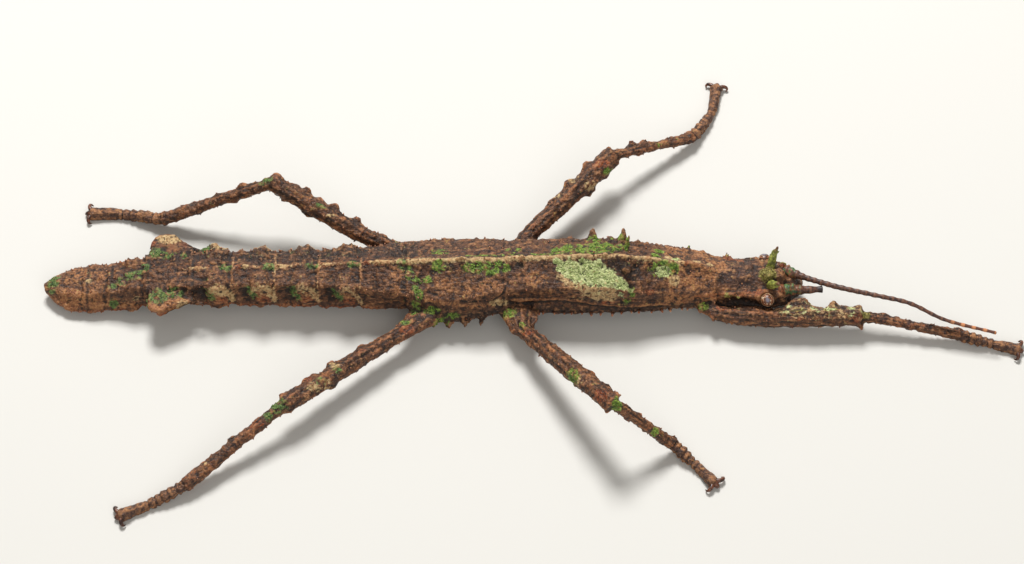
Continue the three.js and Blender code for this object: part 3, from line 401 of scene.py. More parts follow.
def along(spots, path):
    """How far along the limb each spot is, in mm, and its turn about it from straight up.
    A limb's ends reach a little past its path."""
    best = np.full(len(spots), FAR_OFF)
    far, turn, gone = np.zeros(len(spots)), np.zeros(len(spots)), 0.0
    for i, (start, end) in enumerate(zip(path, path[1:])):
        length = np.linalg.norm(end - start)
        way = (end - start) / length
        side = np.cross(way, UP)
        side /= np.linalg.norm(side)
        top = np.cross(side, way)
        before, past = (2.0 if i == 0 else 0.0), (2.0 if i == len(path) - 2 else 0.0)
        held = np.clip((spots - start) @ way, -before, length + past)
        off = spots - start - held[:, None] * way
        gap = np.linalg.norm(off, axis=1)
        nearer = gap < best
        best[nearer] = gap[nearer]
        far[nearer] = gone + held[nearer]
        turn[nearer] = np.arctan2(off @ side, off @ top)[nearer]
        gone += length
    return far, turn


# Which node each part of the skin covers is read off the nearest node's surface.
node_names = TRUNK + [f"leg_{leg}_{part}" for leg, part in LIMBS]
corners, faces, face_node = [], [], []
for number, name in enumerate(node_names):
    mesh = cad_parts[name].data
    first = len(corners)
    corners += [vertex.co.copy() for vertex in mesh.vertices]
    faces += [[first + v for v in face.vertices] for face in mesh.polygons]
    face_node += [number] * len(mesh.polygons)
nodes_surface = BVHTree.FromPolygons(corners, faces)
face_node = np.array(face_node)


def covering(spots):
    """The number in node_names of the node under each spot, in mm."""
    return face_node[[nodes_surface.find_nearest(Vector(spot) * MM)[2] for spot in spots]]


main_nodes = [n for n in node_names if FOLDED not in n or n.endswith("coxa")]
folded_nodes = [n for n in node_names if n not in main_nodes]
bosses = [knob(*boss) for boss in BOSSES + BROAD]
for limb, rows in LOBES.items():
    path = [Vector(p) for p in in_frame(LIMBS[limb])]
    bosses += [lobe(path, *row) for row in rows]
body = closed_over("body", main_nodes, bosses)
skin = joined("skin", [body, closed_over("folded_leg", folded_nodes)])

# The pale arch on each side of the middle rings of the abdomen, the swelling under it and
# the pit ahead of it, from the ring's front seam and up from its keel.
ARCH = [
    (-2.75, -1.4), (-2.3, -0.4), (-1.7, 0.05), (-1, -0.15), (-0.45, -0.9), (-0.1, -1.9),
]
ARCH_MIDDLE, PIT = [(-1.6, -0.9), (-0.8, -1.1)], [(-3.3, -1), (-3.1, -1.7)]
ARCHED = [(side, front, section(front, KEEL_UP)) for front in SEAMS[4:8] for side in SIDES]
# The seam along the side of the thorax's first plates, and the fold under its flank.
PLATE_EDGE = [
    (-10.8, -2.2, 4.6), (-7.2, -3, 4.2), (-4.1, -3, 4), (-2.9, -2.4, 5), (-2.6, -1.5, 5.7),
]
CARINA = [
    (-2.1, -2.8, 4), (2.95, -2.6, 4.05), (7.7, -2.7, 3.1), (11, -2.7, 2.7), (14.3, -2.5, 2.8),
]
# How far out from the middle the two flaps near the tail reach at each x, in mm.
FLAP_RIM = [
    (-40.7, 2.3), (-40.4, 3.7), (-39.9, 4.8), (-39, 5.2), (-38.1, 4.7), (-37.2, 3.8),
    (-35.6, 2.9),
]
LOBE_RIM = [(-40.8, 3), (-40.6, 4.2), (-39.6, 5.2), (-38.2, 4.3), (-35.4, 3.1)]
EYES = {"left": Vector((24.75, 2.85, 3.0)), "right": Vector((24.85, -2.25, 3.2))}
EYE_RADIUS = 0.7


def beside(spots, place, line):
    """The distance from a line drawn on one side of a ring of the abdomen, seen square
    from that side. The place is that side, the ring's front seam and its keel's height;
    the line is given from the seam and up from the keel."""
    side, front, top = place
    gap = away_from(spots * (1.0, 0.0, 1.0), [(front + a, 0.0, top + c) for a, c in line])
    out = side * (spots[:, 1] - CENTRE_Y)
    return np.where((out > 1.1) & (out < 3.4), gap, 9.0)


def lowered(line, drop):
    """The same line, that many mm further down."""
    return [(a, b, c - drop) for a, b, c in line]


def teeth(x, apart, sway, size, seed):
    """A wave of teeth along x, from -1 to 1, that far apart give or take some sway."""
    drift = sway * rough(np.stack([x, 0 * x, 0 * x], 1), size, seed)
    return np.cos(2 * np.pi * x / apart + drift)


def trunk_relief(spots):
    """How far the trunk's cuticle stands out at each spot, in mm."""
    x, y, z = spots.T
    y = y - CENTRE_Y
    rise = 0.10 * rough(spots, 1.5, 1) + 0.10 * rough(spots, 0.55, 2)
    rise += np.where(x < WAIST, 0.10, 0.06) * rough(spots * (0.4, 1.2, 1.2), 0.7, 3)
    rise += 0.12 * granules(spots, 0.62, 1) * unit(0.6 + rough(spots, 2.0, 4))
    rise *= np.where(x < TAIL, 0.6, np.where(x > SHOULDER, 0.75, 1.0))
    ridge = bell(y, 0.2) * (z > section(x, RIDGE) - 0.6) * (x < 18.0)
    rise += ridge * (0.09 + 0.06 * teeth(x, KEEL_TEETH, 2.0, 3.0, 5))
    for side in SIDES:
        left = side > 0
        keel = np.hypot(y - side * section(x, KEEL_OUT), z - section(x, KEEL_UP))
        ringed = np.where(x < TAIL, 0.3, 1.0 if left else 0.5)
        strong = np.where(x > WAIST, 0.3 if left else 0.15, ringed)
        crown = unit(teeth(x, KEEL_TEETH, 3.0, 2.5, 6 + side)) ** 1.5
        rise += strong * bell(keel, 0.42) * (x < NECK) * (0.05 + 0.22 * crown)
        flank = np.hypot(y - side * section(x, FLANK_OUT), z - section(x, FLANK_UP))
        crown = unit(teeth(x, FLANK_TEETH, 3.0, 2.5, 9 + side)) ** 1.5
        rise += bell(flank, 0.35) * (x < NECK) * 0.12 * crown
    for seam in SEAMS:
        welt = bell(x - seam - 0.1 * rough(spots, 1.2, 16), 0.15)
        rise += 0.07 * welt - 0.05 * bell(x - seam + 0.4, 0.3)
    for place in ARCHED:
        for line, amount, width in ((ARCH, 0.3, 0.3), (ARCH_MIDDLE, 0.15, 0.9), (PIT, -0.4, 0.75)):
            rise += amount * bell(beside(spots, place, line), width)
    for line, amount, width in (
        (PLATE_EDGE, -0.14, 0.16), (CARINA, 0.16, 0.2), (lowered(CARINA, 0.55), -0.14, 0.35),
    ):
        rise += amount * bell(away_from(spots, line), width)
    for centre in EYES.values():
        rise += 0.16 * bell(np.linalg.norm(spots - centre, axis=1) - EYE_RADIUS - 0.25, 0.2)
    for side in SIDES:
        hollow = (spots - (22.6, CENTRE_Y + side * 2.8, 2.3)) / (1.4, 1.0, 0.6)
        rise -= 0.22 * bell(np.linalg.norm(hollow, axis=1), 0.9)
    return rise


def limb_relief(spots, part, far, turn):
    """How far a leg's cuticle stands out at each spot, in mm."""
    girth = GIRTH[part]
    across = np.stack([far * 0.45, girth * np.cos(turn) * 2.2, girth * np.sin(turn) * 2.2], 1)
    rise = 0.07 * rough(across, 0.9, 11) + 0.09 * rough(spots, 1.3, 12)
    rise = rise + 0.045 * rough(spots, 0.45, 13)
    rise += 0.06 * granules(spots, 0.5, 14)
    if part == "tarsus":
        for share in FOOT_JOINTS:
            joint = far - share * far.max()
            rise += 0.06 * bell(joint + 0.22, 0.2) - 0.12 * bell(joint, 0.12)
        rise += 0.17
    for edge in EDGES:
        gap = (turn - edge + np.pi) % (2 * np.pi) - np.pi
        wave = np.cos(2 * np.pi * far / 1.4 + 4 * edge + 2.5 * rough(spots, 3.0, 15))
        rise += EDGE_TEETH[part] * bell(gap * girth, 0.22) * (0.12 + 0.16 * unit(wave) ** 2)
    return rise


def neighbours(mesh):
    """The mesh's edges as pairs of vertices, and how many edges meet at each vertex."""
    ends = np.empty(len(mesh.edges) * 2, np.int32)
    mesh.edges.foreach_get("vertices", ends)
    return ends.reshape(-1, 2), np.bincount(ends, minlength=len(mesh.vertices))[:, None]


def evened(values, times, ends, count):
    """Values averaged over their neighbours that many times."""
    for _ in range(times):
        total = np.stack([
            np.bincount(ends[:, 0], column[ends[:, 1]], len(column))
            + np.bincount(ends[:, 1], column[ends[:, 0]], len(column))
            for column in values.T
        ], 1)
        values = 0.5 * values + 0.5 * total / np.maximum(count, 1)
    return values


# The steps between the body's plates are eased, most of all at the neck.
spots = places(skin.data)
ends, count = neighbours(skin.data)
node = covering(spots)
on_trunk = node < len(TRUNK)
ease = bell(spots[:, 0] - 20.0, 1.4)
for seam in SEAMS:
    ease = np.maximum(ease, 0.75 * bell(spots[:, 0] - seam, 0.35))
ease = (ease * on_trunk)[:, None]
spots = spots + ease * (evened(spots, 60, ends, count) - spots)
put(skin.data, spots)
normals = outward(skin.data)
relief = np.zeros(len(spots))
relief[on_trunk] = trunk_relief(spots[on_trunk])
for number, (leg, part) in enumerate(LIMBS, len(TRUNK)):
    mine = node == number
    far, turn = along(spots[mine], in_frame(LIMBS[leg, part]))
    relief[mine] = limb_relief(spots[mine], part, far, turn)
shaped = spots + normals * relief[:, None]
for side, rim in ((1.0, FLAP_RIM), (-1.0, LOBE_RIM)):
    near = (shaped[:, 0] > rim[0][0] - 1.0) & (shaped[:, 0] < rim[-1][0]) & on_trunk
    furthest = np.interp(shaped[near, 0], *zip(*rim)) + 0.12 * rough(shaped[near], 0.7, 17)
    out = side * (shaped[near, 1] - CENTRE_Y)
    shaped[near, 1] = CENTRE_Y + side * np.minimum(out, furthest)
shaped[:, 2] = np.maximum(shaped[:, 2], FLOOR_GAP)
put(skin.data, shaped)
kept_share = min(1.0, SKIN_FACES / (2 * len(skin.data.polygons)))
finish_with(skin, "DECIMATE", use_collapse_triangulate=True, ratio=kept_share)
without_crumbs(skin, SCRAP)

spots, normals = places(skin.data), outward(skin.data)
node = covering(spots)
ends, count = neighbours(skin.data)
# How far each spot stands out from its nearest surroundings and from its wider ones. The colours
# paint shade into the sunken spots and a highlight onto the raised crests.
crease = ((spots - evened(spots, 3, ends, count)) * normals).sum(1) / 0.035
swell = ((spots - evened(spots, 16, ends, count)) * normals).sum(1) / 0.12

# The markings. Each dab is x, y, z, reach along x, reach across, in mm. The legs' own
# dabs come after the trunk's.
DABS = {
    "moss": [
        (-50.9, 0.6, 2.1, 0.7, 0.8), (-50.6, 1.4, 1.9, 0.5, 0.6), (-50.9, -0.2, 1.8, 0.5, 0.5),
        (-42.1, 0.6, 3.7, 1.1, 0.6), (-43.4, 0, 3.4, 0.7, 0.5), (-41, 1.3, 3.8, 0.6, 0.6),
        (-44.3, -1.9, 1.8, 0.6, 0.6), (-44.4, -0.4, 2.8, 0.5, 0.4), (-39.9, 3.1, 3.9, 0.9, 0.7),
        (-38.4, 2.7, 4.1, 1, 0.5), (-36.9, 2.6, 4.5, 0.4, 0.5), (-39.3, -2.2, 3.5, 1.4, 1),
        (-40.4, -2.7, 2.9, 0.7, 1), (-37.7, -1.8, 3.8, 1.2, 0.7), (-34.6, 3.2, 4.2, 0.8, 0.5),
        (-33.3, 3, 4.4, 0.5, 0.3), (-13.6, 0.5, 6, 0.6, 0.7), (-12.9, -0.4, 5.6, 0.5, 0.9),
        (-12.2, -1.4, 5.1, 0.5, 0.8), (-11.9, -2.4, 4.6, 0.5, 0.7),
        (-12.3, -3.4, 3.4, 0.6, 0.9), (-11, -1, 5.3, 0.5, 0.4), (-9.8, 0.2, 6.1, 0.8, 0.8),
        (-6, 0, 6.1, 1.3, 0.7), (-4.6, -0.1, 6.1, 1.4, 0.8), (-9.7, 2.4, 5.4, 0.9, 0.5),
        (-3.7, 0.1, 6.2, 0.9, 0.7), (-2.8, -0.2, 6.2, 0.6, 0.5), (-10.6, -3.5, 3.2, 0.9, 0.5),
        (-8.4, -3.9, 2.6, 0.8, 0.4), (-2.2, -3.9, 3, 0.8, 0.7), (-9.6, -4.4, 2.3, 0.9, 0.6),
        (-1.9, 2.2, 6, 0.9, 0.4), (4.7, 2.2, 6.5, 2, 0.8), (7.8, 2.5, 6.3, 2, 0.9),
        (9.9, 2.5, 6.9, 0.5, 0.9), (8.9, 3.9, 6, 0.9, 0.5), (6.6, 3.6, 5.9, 0.8, 0.5),
        (9.3, 2.6, 6.2, 0.9, 0.7), (2.6, 2, 6.2, 0.8, 0.4), (13, 1.6, 5.8, 0.6, 0.5),
        (13.7, 0.1, 5.8, 1.5, 1), (15, 0.2, 5.5, 0.5, 0.7), (13.4, 2.6, 5.2, 0.8, 0.4),
        (10.5, -2.3, 4.8, 0.4, 0.7), (10, -2.7, 3.6, 0.35, 0.7), (24.9, 0.25, 4.6, 1, 1),
        (25.15, 1.1, 4.2, 0.5, 0.7), (25.2, -0.5, 4.1, 0.45, 0.5), (27.2, -0.6, 3.4, 0.5, 0.4),
        (26.9, 2.3, 3.7, 0.7, 0.5), (20.7, 3.3, 4, 0.5, 0.6), (20.7, -2, 3.5, 0.5, 0.5),
        (21.7, -2.1, 3.3, 0.5, 0.3), (16.9, 3.9, 4.3, 0.3, 0.3),
    ],
    "lichen": [
        (13.8, -0.2, 5.6, 0.9, 0.6), (15.2, 1.4, 5.6, 0.5, 0.4), (6.9, -2.5, 5, 0.4, 0.4),
    ],
    "cream": [
        (-6.4, -0.3, 6, 0.6, 0.3), (-47, 0.4, 2.8, 0.5, 0.25), (-36.9, -2.9, 3.4, 0.7, 0.5),
        (-38.6, 4.9, 3.9, 1.3, 0.6), (-41.7, -1.9, 2.6, 0.6, 0.4), (-3.4, -2.95, 3.8, 1.1, 0.4),
        (14.9, 1.5, 5.6, 0.9, 0.5), (15, -0.9, 5.1, 0.6, 0.7), (-12.9, 0.7, 6.1, 0.5, 0.4),
        (19, 1.1, 5, 0.7, 0.3), (17.6, 1.4, 5.3, 0.7, 0.3), (-12.7, 3, 5.6, 0.6, 0.4),
    ],
    "tan": [
        (-48.9, -1.4, 1.9, 1.6, 1.3), (-46.4, -1.6, 1.9, 1.3, 1.1), (-47.6, 1.3, 2.5, 1, 0.5),
        (-44, -2, 1.9, 1.2, 0.7), (-42, -2.4, 2.1, 1, 0.6), (-38.2, 4.6, 3.9, 2.4, 1.6),
        (-39, -2.9, 3.2, 1.9, 1.4), (-37.3, -3.2, 3.2, 1.4, 1.2), (-14.3, -0.5, 5.4, 0.8, 0.9),
        (-14.3, -1.7, 4.6, 0.8, 0.9), (-6, -2.35, 5, 1.6, 0.7), (-4.4, -1.6, 5.4, 1.5, 0.7),
        (-9, -1.7, 5.2, 1.4, 0.8), (0.2, -1.2, 5.8, 1.4, 1), (15.6, -0.4, 4.8, 0.8, 0.8),
        (17.5, -1.4, 4.4, 1.1, 0.8), (26.6, 0.7, 3.9, 0.8, 0.7), (26.4, -0.9, 3.7, 0.7, 0.6),
        (12.2, 0.7, 6.2, 0.9, 0.9),
    ],
    "rust": [
        (-16.3, 0.7, 6, 0.9, 0.4), (-12.4, -4.2, 2.6, 0.9, 0.6), (12.4, -2.3, 4.7, 0.6, 0.4),
        (16.2, 0.8, 5.9, 0.4, 0.4), (-7.6, 0.8, 6.4, 0.4, 0.3), (-1.1, 0.8, 6.6, 0.4, 0.3),
        (-40.3, 4.8, 3.9, 0.5, 1.2), (-36.6, 4.2, 3.9, 0.6, 0.9), (-38.9, 5.9, 3.9, 1, 0.4),
        (-39.1, -4, 3, 1.4, 0.4), (26.4, -1.1, 3.4, 0.5, 0.3), (8, -2.9, 3.6, 0.9, 0.4),
        (26.4, -1, 3.7, 0.5, 0.5), (26.6, 1.9, 4, 0.7, 0.5), (23.4, -1.5, 3.9, 1.7, 0.55),
        (21.6, 2.6, 3.9, 1.4, 0.5),
    ],
    "dark": [
        (-8.7, 0.2, 6, 0.5, 0.5), (1.4, 0.2, 6.6, 0.35, 0.25), (8.4, 0.2, 6.8, 0.4, 0.25),
        (11.4, 0.3, 6.5, 0.4, 0.4), (16.5, 1.9, 5.1, 0.35, 0.6), (16.5, 0.1, 5.4, 0.35, 0.6),
        (-1.3, 0.1, 6.3, 0.5, 0.4), (22.5, 1.9, 4.2, 0.8, 0.3), (22.6, -2, 2.5, 1.2, 0.5),
        (20.9, 1.8, 4.4, 0.5, 0.3), (19.9, -0.4, 4.4, 0.5, 0.4), (5, 0.4, 6.8, 0.3, 0.2),
        (11, -0.5, 6, 0.5, 0.6), (-13.6, -1.6, 4.9, 0.3, 0.7),
    ],
    "plum": [
        (22.1, 0.8, 4.3, 2.1, 2.1), (20.3, 1.2, 4.5, 0.6, 1.2),
    ],
}
LEG_DABS = {
    "moss": [
        (-21.3, -9.7, 4.3, 0.9, 0.6), (-20.3, -11.3, 4, 0.5, 0.5), (-22, -12.6, 3.9, 0.6, 0.5),
        (-26.2, -15.6, 4, 1.1, 0.9), (-27.3, -16.6, 3.6, 0.5, 0.7), (4.2, -13.4, 6.3, 1, 0.8),
        (8.6, -17.8, 7.9, 0.7, 0.9), (12.6, -18.5, 3.7, 0.5, 0.6), (-28.4, 10.4, 6.9, 1.4, 0.5),
        (-22.2, 8.2, 5.6, 1, 0.4), (4.2, 13, 4.6, 0.9, 0.5), (8.2, 13.4, 4.3, 0.7, 0.5),
        (14, 17.6, 3.2, 0.5, 0.5), (18.1, -2.7, 2.7, 0.6, 0.5), (28, -3.2, 3.1, 1.1, 0.35),
        (31.4, -3.2, 3.1, 1, 0.35), (35.3, -3.7, 2.7, 0.5, 0.6), (-1, -5.6, 3.6, 0.5, 0.4),
        (-13.3, -4.9, 3.2, 0.6, 0.5),
    ],
    "cream": [
        (-20.6, -10.6, 4.2, 0.8, 0.6), (-22.6, -13.2, 3.8, 0.8, 0.6),
        (-21.2, -13, 3.6, 0.4, 0.7), (4.9, -14.3, 6.6, 0.5, 0.6), (-23.4, 8.1, 5.2, 0.8, 0.45),
        (-21.4, 7.2, 5.1, 0.6, 0.35), (6.3, 11.6, 4.1, 1.1, 0.6), (4.6, 12.2, 4.5, 0.7, 0.5),
        (29.4, -3.2, 3.1, 1.4, 0.3), (33, -3.3, 3, 0.8, 0.3), (-34, -21.4, 2.3, 0.9, 0.2),
        (7.9, 12.2, 4.4, 0.7, 0.5), (3, 10.2, 4.2, 0.7, 0.3),
    ],
    "rust": [
        (-13.2, -5.8, 3, 0.9, 0.7), (-18, -8.6, 3.9, 0.8, 0.5), (-23.6, -12.2, 3.6, 0.8, 0.6),
        (-28.8, -17.4, 3.4, 1.2, 0.5), (-0.4, -6.8, 3.7, 0.9, 0.5), (6.9, -16.6, 7.9, 1.2, 0.8),
        (7.4, 13.9, 5.1, 1.2, 0.5), (34.3, -4.1, 2.7, 0.8, 0.7), (27.2, -4.2, 2.7, 1.6, 0.35),
        (20.1, -2.9, 2.6, 0.7, 0.4), (-16.4, 6.6, 3.7, 0.8, 0.4), (-20.5, 9.6, 5.9, 0.7, 0.4),
    ],
}
LICHEN_PATCH = [
    (2.2, 0.5), (2.8, -0.7), (3.6, -1.4), (4.6, -1.9), (5.9, -2.3), (7.2, -2.3), (8.4, -2.25),
    (9.6, -2.5), (10.5, -2.3), (10.1, -1.6), (9.3, -0.9), (8.2, -0.3), (7, 0.35), (4.5, 0.55),
]
LICHEN_BORDER = [(2.9, -1), (3.9, -1.75), (5.4, -2.25), (7.2, -2.4), (8.6, -2.4)]
DARK_PATCH = [
    (6.9, 0.45), (9.7, 0.4), (11.3, -0.5), (10.9, -1.4), (10.3, -1.3), (9.4, -0.7), (8.2, -0.1),
]
# Two black streaks run back from the crest of the head in a V.
STREAKS = (
    [(22.9, 0.75, 4.3), (24.0, 1.05, 4.3), (24.9, 2.1, 4.0)],
    [(22.9, -0.1, 4.3), (24.7, -0.8, 4.1)],
)


def within(outline, x, y):
    """How far inside an outline in plan each place is, in mm; less than 0 outside."""
    gap, inside = np.full(len(x), FAR_OFF), np.zeros(len(x), bool)
    for (ax, ay), (bx, by) in zip(outline, outline[1:] + outline[:1]):
        run = np.array((bx - ax, by - ay))
        share = unit(((x - ax) * run[0] + (y - ay) * run[1]) / (run @ run))
        gap = np.minimum(gap, np.hypot(x - ax - share * run[0], y - ay - share * run[1]))
        crosses = (ay > y) != (by > y)
        inside ^= crosses & (x < ax + (y - ay) * (bx - ax) / (by - ay if by != ay else 1e-9))
    return np.where(inside, gap, -gap)


def painted(dabs):
    """How strongly those dabs mark each spot, from 0 to 1."""
    strength = np.zeros(len(spots))
    for x, y, z, reach, across in dabs:
        gap = (spots - (x, y, z)) / (reach, across, across)
        strength = np.maximum(strength, unit(1.5 - np.linalg.norm(gap, axis=1) ** 2))
    return strength


marks = {name: painted(dabs) for name, dabs in DABS.items()}


def mark(name, strength, mine=slice(None)):
    """Raises that mark to the strength, on the whole skin or on the spots given."""
    marks[name][mine] = np.maximum(marks[name][mine], strength)


x, y, z = spots.T
middle = y - CENTRE_Y
on_trunk = node < len(TRUNK)
upper = on_trunk & (z > 3.6)
marks["tan"] *= np.where(x < -35.0, 1.0, 0.55)
mark("tan", 0.42 * on_trunk * unit((-43.5 - x) / 1.5))
for seam in SEAMS[:4]:
    mark("dark", 0.75 * on_trunk * bell(x - seam - 0.3, 0.22))

# The back's pale line, broken by green at the front of each ring.
line = bell(middle, np.where(x > WAIST, 0.36, 0.27)) * on_trunk
line = line * (z > section(x, RIDGE) - 0.8) * (x > -37.0) * (x < 16.0)
broken = unit(0.6 + 1.1 * rough(spots * (1, 0, 0), 1.6, 21))
whole_line = np.where(x > 8.0, 0.55 + 0.4 * broken, 1.0)
mark("cream", line * np.where(x > WAIST, whole_line, broken))
ragged = within(LICHEN_PATCH, x, y) + 0.55 * rough(spots, 0.9, 27)
mark("lichen", unit(0.45 + ragged / 0.35) * upper)
in_plan = np.stack([x, y, np.zeros(len(x))], 1)
border = away_from(in_plan, [(a, b, 0.0) for a, b in LICHEN_BORDER])
mark("cream", bell(border, 0.34) * upper)
marks["lichen"] *= 1.0 - 0.75 * bell(border, 0.28) * upper
mark("dark", unit(0.5 + within(DARK_PATCH, x, y) / 0.4) * upper)
mark("moss", 0.9 * bell(middle - 0.62, 0.2) * (x > -7.0) * (x < 8.5) * upper)
for rear, front in zip(SEAMS[3:8], SEAMS[4:9]):
    top = section(front, RIDGE)
    if front < -13.5:
        mark("moss", painted([(front - 0.75, 0.75, top - 0.1, 0.75, 0.5)]))
    mark("rust", painted([(rear + 0.7, 0.8, top - 0.3, 0.9, 0.35)]) * 0.95)
    seam = bell(x - front - 0.1 * rough(spots, 1.2, 16) - 0.05 * middle, 0.12) * on_trunk
    seam *= (z > section(x, KEEL_UP) - 0.5) * np.where(middle < 1.2, 0.8, 0.4)
    mark("tan", 0.9 * seam)
    mark("cream", seam * np.clip(0.4 + 1.1 * rough(spots, 1.0, 22), 0.0, 0.8))
fibres = 0.9 + 0.4 * rough(spots * (1, 0.3, 0.3), 0.4, 26)
for place in ARCHED:
    strength = (1.0 if place[0] < 0 else 0.7) * (1.0 if place[1] < -25.0 else 0.6)
    pale = 1.8 * bell(beside(spots, place, ARCH[1:]), 0.36)
    pale = np.maximum(pale, 0.6 * bell(beside(spots, place, [(-1.7, -0.7), (-0.8, -1.0)]), 0.5))
    mark("cream", strength * unit(pale * fibres) * on_trunk)
    under = beside(spots, place, [(-1.8, -0.9), (-0.7, -1.2)])
    mark("tan", strength * unit(1.2 * bell(under, 1.0)))
    mark("rust", 0.9 * bell(beside(spots, place, [(-1.6, -1.8), (-0.4, -1.9)]), 0.6))
    # Painted shade darkens the pit ahead of each arch.
    mark("dark", 0.7 * bell(beside(spots, place, [(-3.3, -0.9), (-3.1, -1.7)]), 0.6))
    mark("moss", 1.6 * bell(beside(spots, place, [(-2.7, -0.6), (-2.4, -1.5)]), 0.5))
keel = np.hypot(middle - section(x, KEEL_OUT), z - section(x, KEEL_UP))
mark("rust", on_trunk * bell(keel, 0.45) * 0.62 * (x < WAIST))
flank = np.hypot(np.abs(middle) - section(x, FLANK_OUT), z - section(x, FLANK_UP))
mark("rust", on_trunk * bell(flank, 0.32) * np.where(x < THORAX, 0.8, 0.35) * (x < 15))
mark("tan", on_trunk * bell(away_from(spots, CARINA), 0.2))
mark("dark", on_trunk * bell(away_from(spots, lowered(CARINA, 0.45)), 0.2))
mark("dark", on_trunk * bell(away_from(spots, PLATE_EDGE), 0.16))
# Painted shade: the lower sides of the thorax and head grow darker towards the bottom.
low = unit((section(x, FLANK_UP) + 1.2 - z) / 0.8)
mark("dark", on_trunk * low * 0.68 * (x > THORAX))
warm = np.clip(0.55 + 0.7 * rough(spots, 1.2, 23), 0.0, 0.9) * (x > 14.0) * (x < 20.6)
mark("tan", warm * on_trunk)
shaded = np.clip(0.6 + 0.5 * rough(spots, 1.5, 24), 0.0, 0.8) * (x < -12.0) * (x > -41.0)
mark("dark", shaded * on_trunk * unit((middle - 0.4) / 0.5))
for streak in STREAKS:
    mark("dark", 1.4 * on_trunk * bell(away_from(spots, streak), 0.32) * (z > 3.7))
# Painted shade under the head: its sides darken towards the bottom, from the neck to the eyes.
below = on_trunk * (x > NECK) * (x < 24.6) * (np.abs(middle) > 1.3)
mark("dark", 0.6 * below * unit((3.15 - z) / 0.3))
for side in SIDES:
    brow = [(17.4, 2.75, 3.6), (20.5, 2.55, 3.4), (23.6, 2.5, 3.4)]
    gap = away_from(spots, [(a, CENTRE_Y + side * b, c) for a, b, c in brow])
    mark("tan", bell(gap, 0.3) * on_trunk)
    mark("rust", 0.6 * bell(gap, 0.45) * on_trunk)
low_side = on_trunk * (x > THORAX) * (x < 15) * (middle < -1.5)
low_fold = away_from(spots, [(-11.0, -2.9, 4.3), (-7.2, -3.4, 3.7), (-4.0, -3.2, 3.5)])
mark("tan", bell(low_fold, 0.25) * low_side)

# The legs' own marks: mottled thighs, dark knees with a green hinge, plum feet.
on_leg = ~on_trunk
flecked = unit(0.65 + 1.3 * rough(spots, 0.5, 25))
leg_marks = {name: painted(dabs) * on_leg for name, dabs in LEG_DABS.items()}
mark("moss", leg_marks["moss"])
marks["moss"] *= np.where(x > 22.0, 1.0, unit(flecked + 0.15))
mark("cream", leg_marks["cream"] * flecked)
mark("rust", leg_marks["rust"])
for number, (leg, part) in enumerate(LIMBS, len(TRUNK)):
    mine = node == number
    far, turn = along(spots[mine], in_frame(LIMBS[leg, part]))
    if (leg, part) == ("fore_right", "femur"):
        band = bell(turn + 0.15, 1.15) * unit((spots[mine, 0] - 25.4) / 0.8)
        mottle = rough(spots[mine], 0.8, 33)
        mark("lichen", band * np.clip(0.3 + 1.4 * mottle, 0.0, 0.7), mine)
        mark("cream", band * np.clip(0.3 - 1.6 * mottle, 0.0, 0.65), mine)
        mark("tan", 0.6 * band, mine)
        blots = band * unit(0.15 + 3.0 * rough(spots[mine], 0.6, 34))
        mark("dark", blots, mine)
        for name in ("lichen", "cream"):
            marks[name][mine] *= 1.0 - 0.8 * blots
    if part == "tarsus":
        marks["plum"][mine] = 1.0
        stripes = 0.5 + 0.5 * np.cos(4 * turn + 1.3 * rough(spots[mine], 1.4, 31))
        mark("tan", 0.75 * unit(stripes * 1.6 - 0.75), mine)
    else:
        across = np.stack([far * 0.35, 3 * np.cos(turn), 3 * np.sin(turn)], 1)
        streaks = rough(across, 1.0, 32)
        mark("tan", np.clip(streaks * 1.2 - 0.15, 0.0, 0.5), mine)
        mark("dark", np.clip(0.1 - streaks * 1.8, 0.0, 0.85), mine)
        mark("rust", np.clip(0.1 + swell[mine] * 0.4, 0.0, 0.55), mine)
moss, lichen = marks["moss"], marks["lichen"]
marks.update(crease=crease, swell=swell)
for name, values in marks.items():
    keep(skin, name, np.clip(values, -1.0, 1.0))

# The skin laid out flat: the trunk in one strip and the six legs in three rows. Each
# strip has its lower edge and its height as shares of the sheet, which is this wide in mm.
SHEET = 92.0
MARGIN = 0.01
TRUNK_STRIP, LEG_STRIP = (MARGIN, 0.46), 0.15
LEG_ROWS = {leg: (MARGIN + 0.5 * (i % 2), 0.5 + 0.168 * (i // 2)) for i, leg in enumerate(LEGS)}


def laid_out(points, number):
    """Where points of that node lie on the flat sheet: the place along it, the turn as a
    share, and the strip's lower edge and height."""
    if number < len(TRUNK):
        x, y, z = points.T
        y = y - CENTRE_Y
        z = z - 0.5 * (section(x, RIDGE) + section(x, BELLY))
        gap = np.hypot(y, z)
        u = x + 52.5 + np.where(x > 26.0, np.clip(1.8 - gap, 0, 2), 0)
        u = u - np.where(x < -50.5, np.clip(0.8 - gap, 0, 1), 0)
        return MARGIN + (u + 1.0) / SHEET, np.arctan2(y, z) / (2 * np.pi) + 0.5, *TRUNK_STRIP
    leg, part = list(LIMBS)[number - len(TRUNK)]
    start = 0.0
    for before in GIRTH:
        path = in_frame(LIMBS[leg, before])
        if before == part:
            break
        start += sum(np.linalg.norm(b - a) for a, b in zip(path, path[1:]))
    far, turn = along(points, path)
    left, low = LEG_ROWS[leg]
    return left + (start + far + 1.5) / SHEET, turn / (2 * np.pi) + 0.5, low, LEG_STRIP


